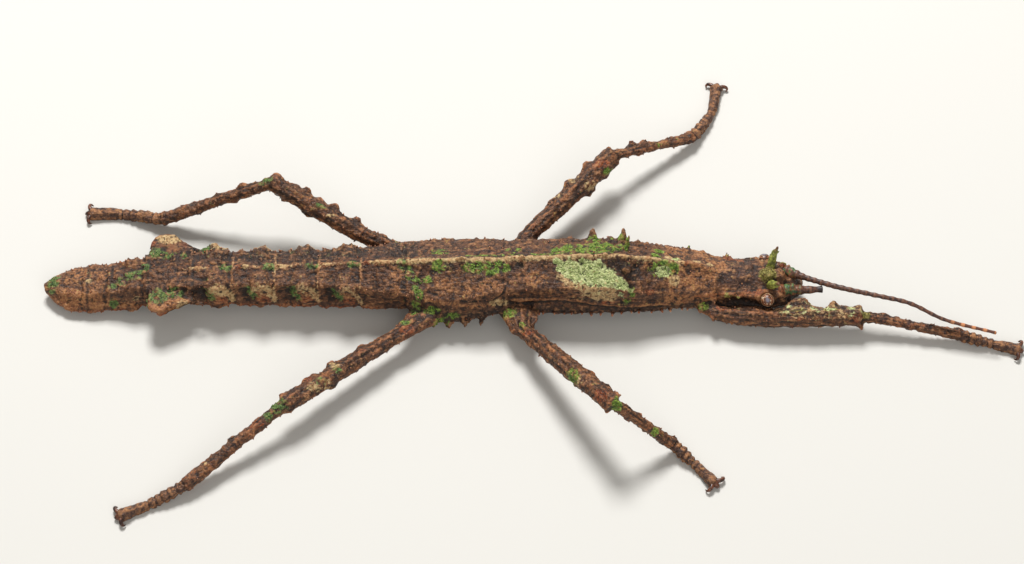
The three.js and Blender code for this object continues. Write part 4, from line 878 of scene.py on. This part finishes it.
mesh = skin.data
loop_vertex = np.empty(len(mesh.loops), np.int32)
mesh.loops.foreach_get("vertex_index", loop_vertex)
triangles = loop_vertex.reshape(-1, 3)
face_number = node[triangles[:, 0]]
flat = np.zeros((len(triangles), 3, 2))
for number in np.unique(face_number):
    mine = face_number == number
    u, v, low, height = laid_out(spots[triangles[mine].ravel()], number)
    u, v = u.reshape(-1, 3), v.reshape(-1, 3)
    v = v - np.round(v - v[:, :1])
    flat[mine] = np.stack([u, low + height * v], 2)
laid = mesh.uv_layers.new(name="OFBake")
laid.uv.foreach_set("vector", unit(flat).astype(np.float32).ravel())
root_uv = np.zeros((len(spots), 2))
root_uv[triangles.ravel()] = flat.reshape(-1, 2)


def colour(red, green, blue):
    """A colour given as on a screen, 0 to 255, in the renderer's own numbers."""
    parts = [c / 255 for c in (red, green, blue)]
    own = [c / 12.92 if c <= 0.04045 else ((c + 0.055) / 1.055) ** 2.4 for c in parts]
    return (*own, 1.0)


def feed(socket, value):
    """Links a node's output to the socket, or sets the socket to a plain value."""
    if isinstance(value, bpy.types.NodeSocket):
        socket.id_data.links.new(value, socket)
    else:
        socket.default_value = value


def add(source, kind, output=0, settings=None, **inputs):
    """A node of that kind beside the source's, with its inputs linked or set, and one of
    its outputs. An input is named, or numbered as i0, i1 and so on."""
    made = source.id_data.nodes.new(kind)
    for key, value in (settings or {}).items():
        setattr(made, key, value)
    for key, value in inputs.items():
        feed(made.inputs[int(key[1:]) if key[1:].isdigit() else key], value)
    return made.outputs[output]


def shading(name):
    """A new material, its surface shader, and object coordinates in mm."""
    finish = bpy.data.materials.new(name)
    finish.use_nodes = True
    surface = finish.node_tree.nodes["Principled BSDF"]
    place = add(surface, "ShaderNodeTexCoord", "Object")
    return finish, surface, add(place, "ShaderNodeMapping", Vector=place, Scale=(1000.0,) * 3)


def cloudy(where, scale, detail=3.0, roughness=0.6, seed=0.0):
    """Soft uneven clouds, scale to the mm, from 0 to 1."""
    return add(where, "ShaderNodeTexNoise", "Fac", {"noise_dimensions": "4D"}, Vector=where,
               W=seed, Scale=scale, Detail=detail, Roughness=roughness)


def grainy(where, scale):
    """Round cells, scale to the mm: the distance from the middle of the nearest."""
    return add(where, "ShaderNodeTexVoronoi", "Distance", Vector=where, Scale=scale)


def maths(operation, a, b=0.0, c=0.0):
    """One sum on two or three numbers."""
    return add(a, "ShaderNodeMath", 0, {"operation": operation}, i0=a, i1=b, i2=c)


def between(value, low, high, to_low=0.0, to_high=1.0):
    """The value eased from to_low to to_high as it goes from low to high."""
    return add(value, "ShaderNodeMapRange", 0, {"interpolation_type": "SMOOTHSTEP"}, i0=value,
               i1=low, i2=high, i3=to_low, i4=to_high)


def laid_over(share, under, over):
    """One colour laid over another by that share. A colour is a node's, or as on a screen."""
    under, over = [colour(*shade) if isinstance(shade, tuple) else shade for shade in (under, over)]
    return add(share, "ShaderNodeMix", 2, {"data_type": "RGBA"}, i0=share, i6=under, i7=over)


def tinted(value, low, high, under, over, most=1.0):
    """One colour laid over another by up to most, as the value goes from low to high."""
    return laid_over(between(value, low, high, 0.0, most), under, over)


def stored(source, name):
    """A value kept on the mesh."""
    return add(source, "ShaderNodeAttribute", "Fac", {"attribute_name": name})


def worn(surface, tone, roughness, height=None, strength=0.0, depth=0.0):
    """Gives the surface its colour and roughness, and a bump of that depth in metres."""
    feed(surface.inputs["Base Color"], tone)
    feed(surface.inputs["Roughness"], roughness)
    if height is not None:
        bump = add(surface, "ShaderNodeBump", Strength=strength, Distance=depth, Height=height)
        feed(surface.inputs["Normal"], bump)


bark, surface, where = shading("bark_cuticle")
broad = cloudy(where, 0.45, 4.0)
patchy = cloudy(where, 1.3, 4.0, 0.65, 3.0)
fine = cloudy(where, 3.6, 4.0, 0.72, 7.0)
speck = grainy(where, 3.6)
crease_now, swell_now = stored(where, "crease"), stored(where, "swell")
tone = tinted(broad, 0.35, 0.65, (76, 47, 31), (101, 64, 40))
for cloud, low, high, shade, most in (
    (patchy, 0.52, 0.68, (128, 81, 48), 1.0), (patchy, 0.47, 0.34, (50, 33, 28), 1.0),
    (fine, 0.44, 0.3, (39, 26, 22), 0.6), (fine, 0.57, 0.7, (163, 112, 72), 0.6),
):
    tone = tinted(cloud, low, high, tone, shade, most)


def marking(name, under, over, edge, soft, grain, strength):
    """A colour laid where the skin is marked so, with a ragged edge."""
    ragged = stored(where, name)
    for noise_now, amount in ((fine, 2.2), (patchy, 1.6)):
        offset = maths("SUBTRACT", noise_now, 0.5)
        ragged = maths("MULTIPLY_ADD", offset, grain * amount, ragged)
    return tinted(ragged, edge - soft, edge + soft, under, over, strength)


def green(where, grain):
    """Moss green: dull at the tail, grass green on the back, olive on the head."""
    forward = add(where, "ShaderNodeSeparateXYZ", Vector=where)
    shades = []
    for tail, back, head in (((58, 82, 38), (68, 98, 28), (92, 84, 34)),
                             ((112, 138, 70), (136, 162, 62), (162, 152, 80))):
        shade = tinted(forward, -16.0, -10.0, tail, back)
        shades.append(tinted(forward, 17.0, 21.0, shade, head))
    return tinted(grain, 0.4, 0.62, *shades)


plum_tone = tinted(fine, 0.4, 0.6, (54, 36, 31), (89, 60, 48))
tan_tone = tinted(fine, 0.4, 0.62, (128, 76, 45), (186, 129, 79))
rust_tone = tinted(fine, 0.4, 0.62, (105, 49, 26), (163, 85, 43))
cream_tone = tinted(fine, 0.38, 0.58, (138, 104, 64), (208, 178, 128))
lichen_tone = tinted(fine, 0.36, 0.56, (128, 144, 78), (202, 208, 148))
for name, shade, edge, soft, grain, strength in (
    ("plum", plum_tone, 0.5, 0.12, 0.55, 0.85), ("tan", tan_tone, 0.5, 0.32, 0.8, 0.85),
    ("rust", rust_tone, 0.55, 0.3, 0.8, 0.8), ("dark", (35, 24, 19), 0.5, 0.28, 0.7, 0.85),
):
    tone = marking(name, tone, shade, edge, soft, grain, strength)
grit = cloudy(where, 5.0, 2.0, 0.6, 11.0)
lengthwise = add(where, "ShaderNodeMapping", Vector=where, Scale=(0.22, 1.0, 1.0))
fibre = cloudy(lengthwise, 3.0, 3.0, 0.65, 13.0)
for cloud, low, high, shade, most in (
    (fibre, 0.47, 0.34, (34, 23, 20), 0.8), (fibre, 0.55, 0.68, (184, 132, 90), 0.6),
    (grit, 0.45, 0.3, (30, 20, 17), 0.6), (grit, 0.6, 0.74, (200, 158, 120), 0.4),
):
    tone = tinted(cloud, low, high, tone, shade, most)
tone = marking("cream", tone, cream_tone, 0.5, 0.26, 0.8, 0.9)
tone = marking("moss", tone, green(where, fine), 0.5, 0.3, 0.85, 0.92)
tone = marking("lichen", tone, lichen_tone, 0.5, 0.2, 0.7, 0.95)
# Small pale dots on the granules: partly their own pale tips, partly painted glints of light.
pale_tips_and_glints = maths("MULTIPLY", between(speck, 0.22, 0.1), between(patchy, 0.46, 0.6))
tone = laid_over(maths("MULTIPLY", pale_tips_and_glints, 0.45), tone, (180, 144, 105))
# Painted shade: the fine creases and the broader hollows are darkened.
tone = tinted(crease_now, -0.15, -0.9, tone, (27, 18, 15), 0.8)
tone = tinted(swell_now, -0.2, -1.0, tone, (31, 21, 16), 0.5)
# A painted highlight lightens the raised crests.
crest_highlight = maths("MULTIPLY", between(crease_now, 0.25, 0.95), between(patchy, 0.42, 0.6))
tone = laid_over(maths("MULTIPLY", crest_highlight, 0.5), tone, (184, 130, 88))
height = maths("MULTIPLY_ADD", fine, 0.6, maths("MULTIPLY", speck, -0.35))
height = maths("MULTIPLY_ADD", grit, 0.2, maths("MULTIPLY_ADD", fibre, 0.5, height))
worn(surface, tone, between(patchy, 0.3, 0.7, 0.36, 0.62), height, 0.9, 0.00026)
surface.inputs["Specular IOR Level"].default_value = 0.35
skin.data.materials.clear()
skin.data.materials.append(bark)
only(skin)
bpy.ops.object.shade_smooth()
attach(skin, "root")
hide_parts(*node_names)

# ------------------------------------------------------------------------------------
# Eyes. Two hard round eyes of many small facets, one each side of the head, banded in
# rings of brown about a grey-blue middle. Each is set in a raised rim of the skin.
# ------------------------------------------------------------------------------------
eye_finish, surface, where = shading("ringed_eye")
wave = maths("SUBTRACT", cloudy(where, 2.6), 0.5)
wavy = maths("MULTIPLY_ADD", wave, 0.34, stored(where, "ring"))
tone = tinted(wavy, 0.16, 0.3, (120, 112, 120), (62, 40, 34))
rings_now = maths("SINE", maths("MULTIPLY", wavy, 26.0))
banded = tinted(rings_now, -0.2, 0.7, (84, 44, 28), (178, 112, 70))
banded = tinted(wavy, 0.72, 0.9, banded, (208, 172, 128))
flecks = cloudy(where, 3.4, 2.0, 0.6, 4.0)
banded = tinted(flecks, 0.5, 0.6, banded, (62, 30, 20), 0.85)
pale_flecks = cloudy(where, 3.8, 2.0, 0.6, 9.0)
banded = tinted(pale_flecks, 0.56, 0.64, banded, (222, 200, 170), 0.9)
tone = tinted(wavy, 0.24, 0.4, tone, banded)
worn(surface, tone, 0.4, grainy(where, 14.0), 0.25, 0.00003)
surface.inputs["Coat Weight"].default_value = 0.15
surface.inputs["Coat Roughness"].default_value = 0.25
for side, centre in EYES.items():
    bpy.ops.mesh.primitive_uv_sphere_add(
        segments=40, ring_count=24, radius=EYE_RADIUS * MM, location=centre * MM
    )
    eye = settled(f"round_eye_{side}")
    outer = Vector((-0.04, 0.55 if side == "left" else -0.55, 0.85)).normalized()
    turned = [1.0 - (v.co / MM - centre).normalized().dot(outer) for v in eye.data.vertices]
    keep(eye, "ring", [math.sqrt(max(t, 0.0)) for t in turned])
    eye.data.materials.append(eye_finish)
    bpy.ops.object.shade_smooth()
    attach(eye, "root")
    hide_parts(f"eye_{side}")

# ------------------------------------------------------------------------------------
# Horns. A pair of soft-looking green horns stands on the crest between the eyes, bent
# outwards, granular, and brown at the tip. Each is drawn out ring by ring from its root,
# and a small spike leans forward from its side.
# ------------------------------------------------------------------------------------
# The horns stand about a line a little to the right of the trunk's own.
HEAD_MIDDLE = 0.397
HORN_STEM = [(25.2, 0.95, 3.5), (25.5, 1.7, 4.75), (25.95, 2.3, 5.8)]
HORN_SPIKE = [(25.6, 1.9, 4.9), (26.2, 2.15, 5.35)]


def drawn_out(name, rings, sides):
    """A limb drawn out ring by ring; each ring is its centre and radius in mm."""
    spine = [Vector(centre) for centre, _ in rings]
    ways = [
        (after - before).normalized()
        for before, after in zip(spine[:1] + spine, spine[1:] + spine[-1:])
    ]
    bpy.ops.mesh.primitive_circle_add(
        vertices=sides, radius=rings[0][1] * MM, fill_type="NGON", location=spine[0] * MM,
        rotation=ways[0].to_track_quat("Z", "Y").to_euler(),
    )
    limb = settled(name)
    bpy.ops.object.mode_set(mode="EDIT")
    for i in range(1, len(rings)):
        step = (spine[i] - spine[i - 1]) * MM
        bpy.ops.mesh.extrude_region_move(TRANSFORM_OT_translate={"value": step})
        work = bmesh.from_edit_mesh(limb.data)
        swing = ways[i - 1].rotation_difference(ways[i])
        centre, growth = spine[i] * MM, rings[i][1] / rings[i - 1][1]
        for vertex in [v for v in work.verts if v.select]:
            vertex.co = centre + swing @ (vertex.co - centre) * growth
        bmesh.update_edit_mesh(limb.data)
    bpy.ops.mesh.select_all(action="SELECT")
    bpy.ops.mesh.normals_make_consistent(inside=False)
    bpy.ops.object.mode_set(mode="OBJECT")
    bpy.ops.object.shade_smooth()
    return limb


def eased(points, steps):
    """A smooth line through points, with that many steps to each run."""
    points = [Vector(p) for p in points]
    padded = [points[0] * 2 - points[1]] + points + [points[-1] * 2 - points[-2]]
    line = []
    for a, b, c, d in zip(padded, padded[1:], padded[2:], padded[3:]):
        for t in (step / steps for step in range(steps)):
            bend = (2 * a - 5 * b + 4 * c - d) * t * t
            line.append(0.5 * (2 * b + (c - a) * t + bend + (3 * b - a - 3 * c + d) * t ** 3))
    return line + [points[-1]]


horn_finish, surface, where = shading("green_horn")
fine = cloudy(where, 3.0)
tone = tinted(fine, 0.4, 0.62, (88, 92, 32), (164, 168, 74))
tone = tinted(stored(where, "tip"), 0.8, 0.97, tone, (104, 66, 40))
tone = tinted(cloudy(where, 6.0, 2.0, 0.6, 4.0), 0.55, 0.7, tone, (66, 60, 30), 0.8)
worn(surface, tone, 0.55, fine, 0.8, 0.0001)
for side, way in (("left", 1.0), ("right", -1.0)):
    stem, spike = [[(a, HEAD_MIDDLE + way * b, c) for a, b, c in points]
                   for points in (HORN_STEM, HORN_SPIKE)]
    line = eased(stem, 7)
    shares = [i / (len(line) - 1) for i in range(len(line))]
    rings = [
        (p, 0.5 * (1 - 0.7 * share ** 1.8) * (1.0 + 0.05 * math.sin(i * 1.9)))
        for i, (p, share) in enumerate(zip(line, shares))
    ]
    rings.append((line[-1] + Vector((0.03, way * 0.05, 0.1)), 0.05))
    name = f"head_horn_{side}"
    horn = joined(name, [drawn_out(name, rings, 14), knob(*spike, 0.34)])
    finish_with(horn, "SUBSURF", levels=1, render_levels=1)
    shape, aim = places(horn.data), outward(horn.data)
    rise = 0.12 * rough(shape * (1, 1, 0.35), 0.45, 41) + 0.03 * granules(shape, 0.3, 42)
    put(horn.data, shape + aim * rise[:, None])
    low, high = shape[:, 2].min(), shape[:, 2].max()
    keep(horn, "tip", (shape[:, 2] - low) / (high - low))
    horn.data.materials.append(horn_finish)
    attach(horn, "root")
    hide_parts(f"horn_{side}")

# ------------------------------------------------------------------------------------
# Antennae. Jointed threads of dark horn, thick at the root. The left one is whole and
# sweeps forward over the right fore leg; the right one is a short stub, broken off.
# ------------------------------------------------------------------------------------
feeler_finish, surface, where = shading("antenna_cuticle")
fine = cloudy(where, 3.2)
joint_now = stored(where, "joint")
tone = tinted(fine, 0.4, 0.6, (50, 28, 22), (104, 64, 44))
tone = tinted(joint_now, 0.6, 0.97, tone, (140, 98, 72), 0.5)
end_tone = tinted(joint_now, 0.2, 0.7, (96, 52, 32), (196, 128, 80))
tone = tinted(stored(where, "end"), 0.3, 0.9, tone, end_tone)
tone = laid_over(stored(where, "broken_end"), tone, (40, 27, 28))
root_tone = tinted(fine, 0.42, 0.6, (88, 52, 36), (140, 92, 60))
root_green = tinted(fine, 0.4, 0.6, (34, 60, 36), (84, 114, 64))
root_tone = tinted(cloudy(where, 1.4, 3.0, 0.6, 9.0), 0.48, 0.56, root_tone, root_green)
tone = tinted(stored(where, "root"), 0.3, 0.7, tone, root_tone)
worn(surface, tone, 0.5, fine, 0.6, 0.00006)
# Each antenna's line from the animal's centre, its radius past the root and at the tip.
FEELERS = {
    "left": ([(28.2, 1.15, 3.0), (31.1, -0.5, 3.55), (34.6, -1.8, 3.7), (38.3, -2.7, 3.6),
              (42.0, -3.55, 3.3), (45.7, -5.2, 2.65), (50.9, -6.5, 2.2)], 0.33, 0.17),
    "right": ([(28.4, -1.65, 3.0), (30.8, -1.85, 3.3), (32.8, -1.75, 3.25)], 0.42, 0.34),
}
# How far an antenna's thick root reaches, and its radius, in mm.
ROOT_LENGTH, ROOT_RADIUS = 2.6, 0.62
for side, (path, shaft, tip) in FEELERS.items():
    line = eased(in_frame(path), 24)
    rings, joints, gone = [], [], 0.0
    for i, spot in enumerate(line):
        gone += (spot - line[i - 1]).length if i else 0.0
        share = i / (len(line) - 1)
        thick = shaft + (tip - shaft) * share
        thick += (ROOT_RADIUS - shaft) * math.exp(-((gone / ROOT_LENGTH) ** 4))
        pulse = math.cos(2 * math.pi * gone / (0.55 + 0.35 * share))
        joints.append(max(pulse, 0.0))
        rings.append((spot, thick * (1.0 + 0.1 * pulse)))
    rings.append((line[-1] + (line[-1] - line[-2]) * 0.4, tip * 0.5))
    joints.append(0.0)
    feeler = drawn_out(f"jointed_antenna_{side}", rings, 12)
    shape, aim = places(feeler.data), outward(feeler.data)
    from_root = np.linalg.norm(shape - np.array(line[0]), axis=1)
    lumpy = 0.18 * rough(shape, 0.7, 51) * np.clip(ROOT_LENGTH - from_root, 0.12, 1.0)
    put(feeler.data, shape + aim * lumpy[:, None])
    nearest = [
        min(range(len(rings)), key=lambda k: (Vector(p) - rings[k][0]).length_squared)
        for p in shape
    ]
    ending = unit((np.array(nearest) / len(rings) - 0.78) / 0.1)
    keep(feeler, "joint", [joints[k] for k in nearest])
    keep(feeler, "end", ending * (side == "left"))
    keep(feeler, "broken_end", ending * (side == "right"))
    keep(feeler, "root", unit((ROOT_LENGTH - from_root) / 0.8))
    feeler.data.materials.append(feeler_finish)
    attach(feeler, "root")
    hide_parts(f"antenna_{side}")

# ------------------------------------------------------------------------------------
# Claws. Each foot ends in two hooked claws of dark horn spread like a T, with a small
# pad between them. Each is drawn out along its own line, and all are one piece.
# ------------------------------------------------------------------------------------
# A hook's line ahead of the toe, out to the side and up; a pad's rings ahead, up and in
# radius; and the least height of a hook's line, in mm.
HOOK = [(-0.3, 0.12, 0.05), (0.05, 0.6, 0.1), (0.12, 1.0, 0.05), (-0.02, 1.18, -0.08),
        (-0.25, 1.12, -0.22)]
PAD = [(-0.5, 0.0, 0.36), (-0.2, 0.02, 0.4), (0.1, 0.0, 0.36), (0.35, -0.06, 0.26),
       (0.5, -0.12, 0.14)]
LOWEST_CLAW = 0.09
claw_finish, surface, where = shading("claw_horn")
tone = tinted(cloudy(where, 2.4), 0.4, 0.6, (46, 26, 20), (112, 66, 44))
worn(surface, tone, 0.35)
claws = []
for leg in LEGS:
    heel, toe = [Vector(p) for p in in_frame(LIMBS[leg, "tarsus"])[-2:]]
    ahead = (toe - heel).normalized()
    side = UP.cross(ahead).normalized()
    size = 0.6 if leg == FOLDED else 1.0
    for way in SIDES:
        stem = [toe + (ahead * a + side * way * b + UP * c) * size for a, b, c in HOOK]
        line = eased(stem, 4)
        last = len(line) - 1
        rings = [
            (Vector((p.x, p.y, max(p.z, LOWEST_CLAW))), 0.27 * size * (1 - 0.8 * (i / last) ** 1.3))
            for i, p in enumerate(line)
        ]
        claws.append(drawn_out(f"claw_{leg}", rings, 10))
    claws.append(drawn_out(f"pad_{leg}", [(toe + ahead * a + UP * c, r) for a, c, r in PAD], 12))
claws = joined("claws", claws)
shape = places(claws.data)
shape[:, 2] = np.maximum(shape[:, 2], FLOOR_GAP)
put(claws.data, shape)
claws.data.materials.clear()
claws.data.materials.append(claw_finish)
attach(claws, "root")

# ------------------------------------------------------------------------------------
# Tubercles. Hundreds of small blunt teeth of the same cuticle stand along the keels,
# the flanks and the legs' edges, and singly on the back. One is made and copied.
# ------------------------------------------------------------------------------------
LONE_TEETH = 420
dice = random.Random(11)
skin_surface = BVHTree.FromPolygons([Vector(p) for p in spots], triangles.tolist())
bpy.ops.mesh.primitive_cone_add(
    vertices=7, radius1=0.5, radius2=0.3, depth=0.5, location=(0, 0, 0.1), end_fill_type="NOTHING"
)
tooth = settled("tooth")
bpy.ops.object.mode_set(mode="EDIT")
work = bmesh.from_edit_mesh(tooth.data)
for edge in work.edges:
    edge.select = all(v.co.z > 0.3 for v in edge.verts)
bpy.ops.mesh.extrude_region_move(TRANSFORM_OT_translate={"value": (0.05, 0, 0.4)})
bpy.ops.transform.resize(value=(0.55, 0.55, 1.0), center_override=(0.05, 0, 0.75))
bpy.ops.mesh.extrude_region_move(TRANSFORM_OT_translate={"value": (0.05, 0, 0.25)})
bpy.ops.mesh.merge(type="CENTER")
bpy.ops.mesh.select_all(action="SELECT")
bpy.ops.mesh.normals_make_consistent(inside=False)
bpy.ops.object.mode_set(mode="OBJECT")
bpy.ops.object.shade_smooth()
teeth_places = []


def plant(spot, height, lean):
    """Marks a place for a tooth at the skin's nearest point to spot, in mm."""
    foot, normal, face, _ = skin_surface.find_nearest(Vector(spot))
    teeth_places.append((foot, (normal + Vector(lean)).normalized(), height, triangles[face][0]))


x = -50.0
while x < 17.5:
    for side in SIDES:
        at = x + dice.uniform(-0.3, 0.3)
        size = dice.uniform(0.16, 0.28)
        if dice.random() < (0.8 if side > 0 and x < -12 else 0.35):
            spot = (at, CENTRE_Y + side * section(at, KEEL_OUT), section(at, KEEL_UP))
            plant(spot, size, (0.1, 0.6 * side, 0.3))
        at = x + dice.uniform(-0.3, 0.3)
        size = dice.uniform(0.32, 0.5) if x > -2 else dice.uniform(0.14, 0.24)
        spot = (at, CENTRE_Y + side * section(at, FLANK_OUT), section(at, FLANK_UP))
        plant(spot, size, (0.1, 0.5 * side, -0.1))
    if dice.random() < 0.35:
        plant((x, CENTRE_Y, section(x, RIDGE)), dice.uniform(0.15, 0.25), (0.0, 0.0, 0.3))
    x += dice.uniform(0.85, 1.3)
for leg in LEGS:
    for part, strong in (("femur", 1.0), ("tibia", 0.75)):
        path = [Vector(p) for p in in_frame(LIMBS[leg, part])]
        for start, end in zip(path, path[1:]):
            length, way = (end - start).length, (end - start).normalized()
            across = way.cross(UP).normalized()
            above = across.cross(way)
            for edge in EDGES:
                aim = above * math.cos(edge) + across * math.sin(edge)
                gone = dice.uniform(0.5, 2.0)
                while gone < length - 0.3:
                    spot = start + way * gone + aim * GIRTH[part] * 1.2
                    plant(spot, strong * dice.uniform(0.12, 0.26), aim * 0.4 + way * 0.5)
                    gone += dice.uniform(1.6, 3.2)
for _ in range(LONE_TEETH):
    pick = dice.randrange(len(spots))
    if on_trunk[pick] and spots[pick][2] > 1.6:
        # The second draw is not used: it keeps the later draws as they are.
        height, _ = dice.uniform(0.1, 0.24), dice.random()
        plant(spots[pick], height, (0.0, 0.0, 0.1))

# How far a copy's map spreads from its root's place, as a share of the sheet.
PATCH = 0.0015


def copied_over(name, template, planted, width):
    """Copies the template to each place, joins them, and lays each copy's map in a small
    patch at its root's place on the skin's own map."""
    made, roots = [], []
    shape = places(template.data) * MM
    for number, (foot, aim, height, root) in enumerate(planted):
        turn = aim.to_track_quat("Z", "Y").to_matrix().to_4x4()
        spin = Matrix.Rotation(number * 2.4, 4, "Z")
        scale = Matrix.Diagonal((height * width, height * width, height, 1.0))
        mesh = template.data.copy()
        mesh.transform(Matrix.Scale(MM, 4) @ Matrix.Translation(foot) @ turn @ spin @ scale)
        copy = bpy.data.objects.new(name, mesh)
        bpy.context.scene.collection.objects.link(copy)
        made.append(copy)
        roots.append(root_uv[root])
    whole = joined(name, made)
    keep(whole, "tip", np.tile(unit(shape[:, 2] / shape[:, 2].max()), len(planted)))
    for layer in list(whole.data.uv_layers):
        whole.data.uv_layers.remove(layer)
    laid = whole.data.uv_layers.new(name="OFBake")
    vertex = np.empty(len(whole.data.loops), np.int32)
    whole.data.loops.foreach_get("vertex_index", vertex)
    spread = np.tile(shape[:, :2] + shape[:, 2:] * 0.3, (len(planted), 1))
    spread = spread / np.abs(spread).max() * PATCH
    flat = np.repeat(np.array(roots), len(shape), axis=0) + spread
    laid.uv.foreach_set("vector", unit(flat[vertex]).astype(np.float32).ravel())
    bpy.data.objects.remove(template)
    return whole


tubercles = copied_over("tubercles", tooth, teeth_places, 1.05)
tooth_finish, surface, where = shading("tubercle_cuticle")
fine = cloudy(where, 2.0)
tone = tinted(fine, 0.4, 0.6, (88, 56, 42), (134, 84, 56))
tip_tone = tinted(fine, 0.42, 0.6, (168, 98, 60), (206, 150, 112))
worn(surface, tinted(stored(where, "tip"), 0.3, 0.95, tone, tip_tone), 0.5)
tubercles.data.materials.clear()
tubercles.data.materials.append(tooth_finish)
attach(tubercles, "root")

# ------------------------------------------------------------------------------------
# Moss grains. The green and lichen patches are built up of tiny soft granules that grow
# from the skin. One round lump is made and copied over every such patch.
# ------------------------------------------------------------------------------------
MOST_GRAINS = 1800
bpy.ops.mesh.primitive_ico_sphere_add(subdivisions=1, radius=0.5, location=(0, 0, 0.2))
lump = settled("lump")
bpy.ops.object.shade_smooth()
greenest = np.flatnonzero((np.maximum(moss, lichen) + 0.35 * rough(spots, 0.6, 61)) > 0.9)
picks = dice.sample(greenest.tolist(), min(MOST_GRAINS, len(greenest)))
lumps = [(Vector(spots[p]), Vector(normals[p]), dice.uniform(0.07, 0.17), p) for p in picks]
moss_grains = copied_over("moss_grains", lump, lumps, 1.3)
each = len(moss_grains.data.vertices) // len(lumps)
keep(moss_grains, "kind", np.repeat([float(lichen[p] > moss[p]) for p in picks], each))
grain_finish, surface, where = shading("moss_grain")
fine = cloudy(where, 2.6, 2.0, 0.6, 5.0)
pale = tinted(fine, 0.4, 0.6, (140, 156, 88), (206, 212, 152))
worn(surface, tinted(stored(where, "kind"), 0.4, 0.6, green(where, fine), pale), 0.6)
moss_grains.data.materials.clear()
moss_grains.data.materials.append(grain_finish)
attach(moss_grains, "root")

# ------------------------------------------------------------------------------------
# Floor, lights and camera. A plain pale floor under the feet, a strong lamp high on the
# left with a broad weak one high on the right, and the camera above the right side.
# ------------------------------------------------------------------------------------
bpy.ops.mesh.primitive_plane_add(size=3.0, location=(0, 0, 0))
floor = bpy.context.object
floor.name = "floor"
floor_finish, surface, where = shading("pale_floor")
worn(surface, colour(214, 212, 206), 0.85)
floor.data.materials.append(floor_finish)

for name, place, size, power in (
    ("key", (-0.05, 0.30, 0.42), 0.14, 3.3),
    ("fill", (0.12, -0.40, 0.35), 0.40, 0.8),
):
    bpy.ops.object.light_add(type="AREA", location=place)
    lamp = bpy.context.object
    lamp.name = name
    lamp.data.size = size
    lamp.data.energy = power
    lamp.rotation_euler = (-Vector(place)).to_track_quat("-Z", "Y").to_euler()
world = bpy.data.worlds.new("studio")
world.use_nodes = True
backdrop = world.node_tree.nodes["Background"]
backdrop.inputs["Color"].default_value = (1.0, 0.97, 0.93, 1.0)
backdrop.inputs["Strength"].default_value = 0.3
bpy.context.scene.world = world
bpy.context.scene.view_settings.view_transform = "Standard"

bpy.ops.object.camera_add(
    location=(-0.002102, -0.191497, 0.309639), rotation=(math.radians(32.0), 0.0, 0.0)
)
camera = bpy.context.object
camera.data.lens = 120.0
camera.data.sensor_width = 36.0
camera.data.clip_start = 0.01
camera.data.clip_end = 10.0
bpy.context.scene.camera = camera
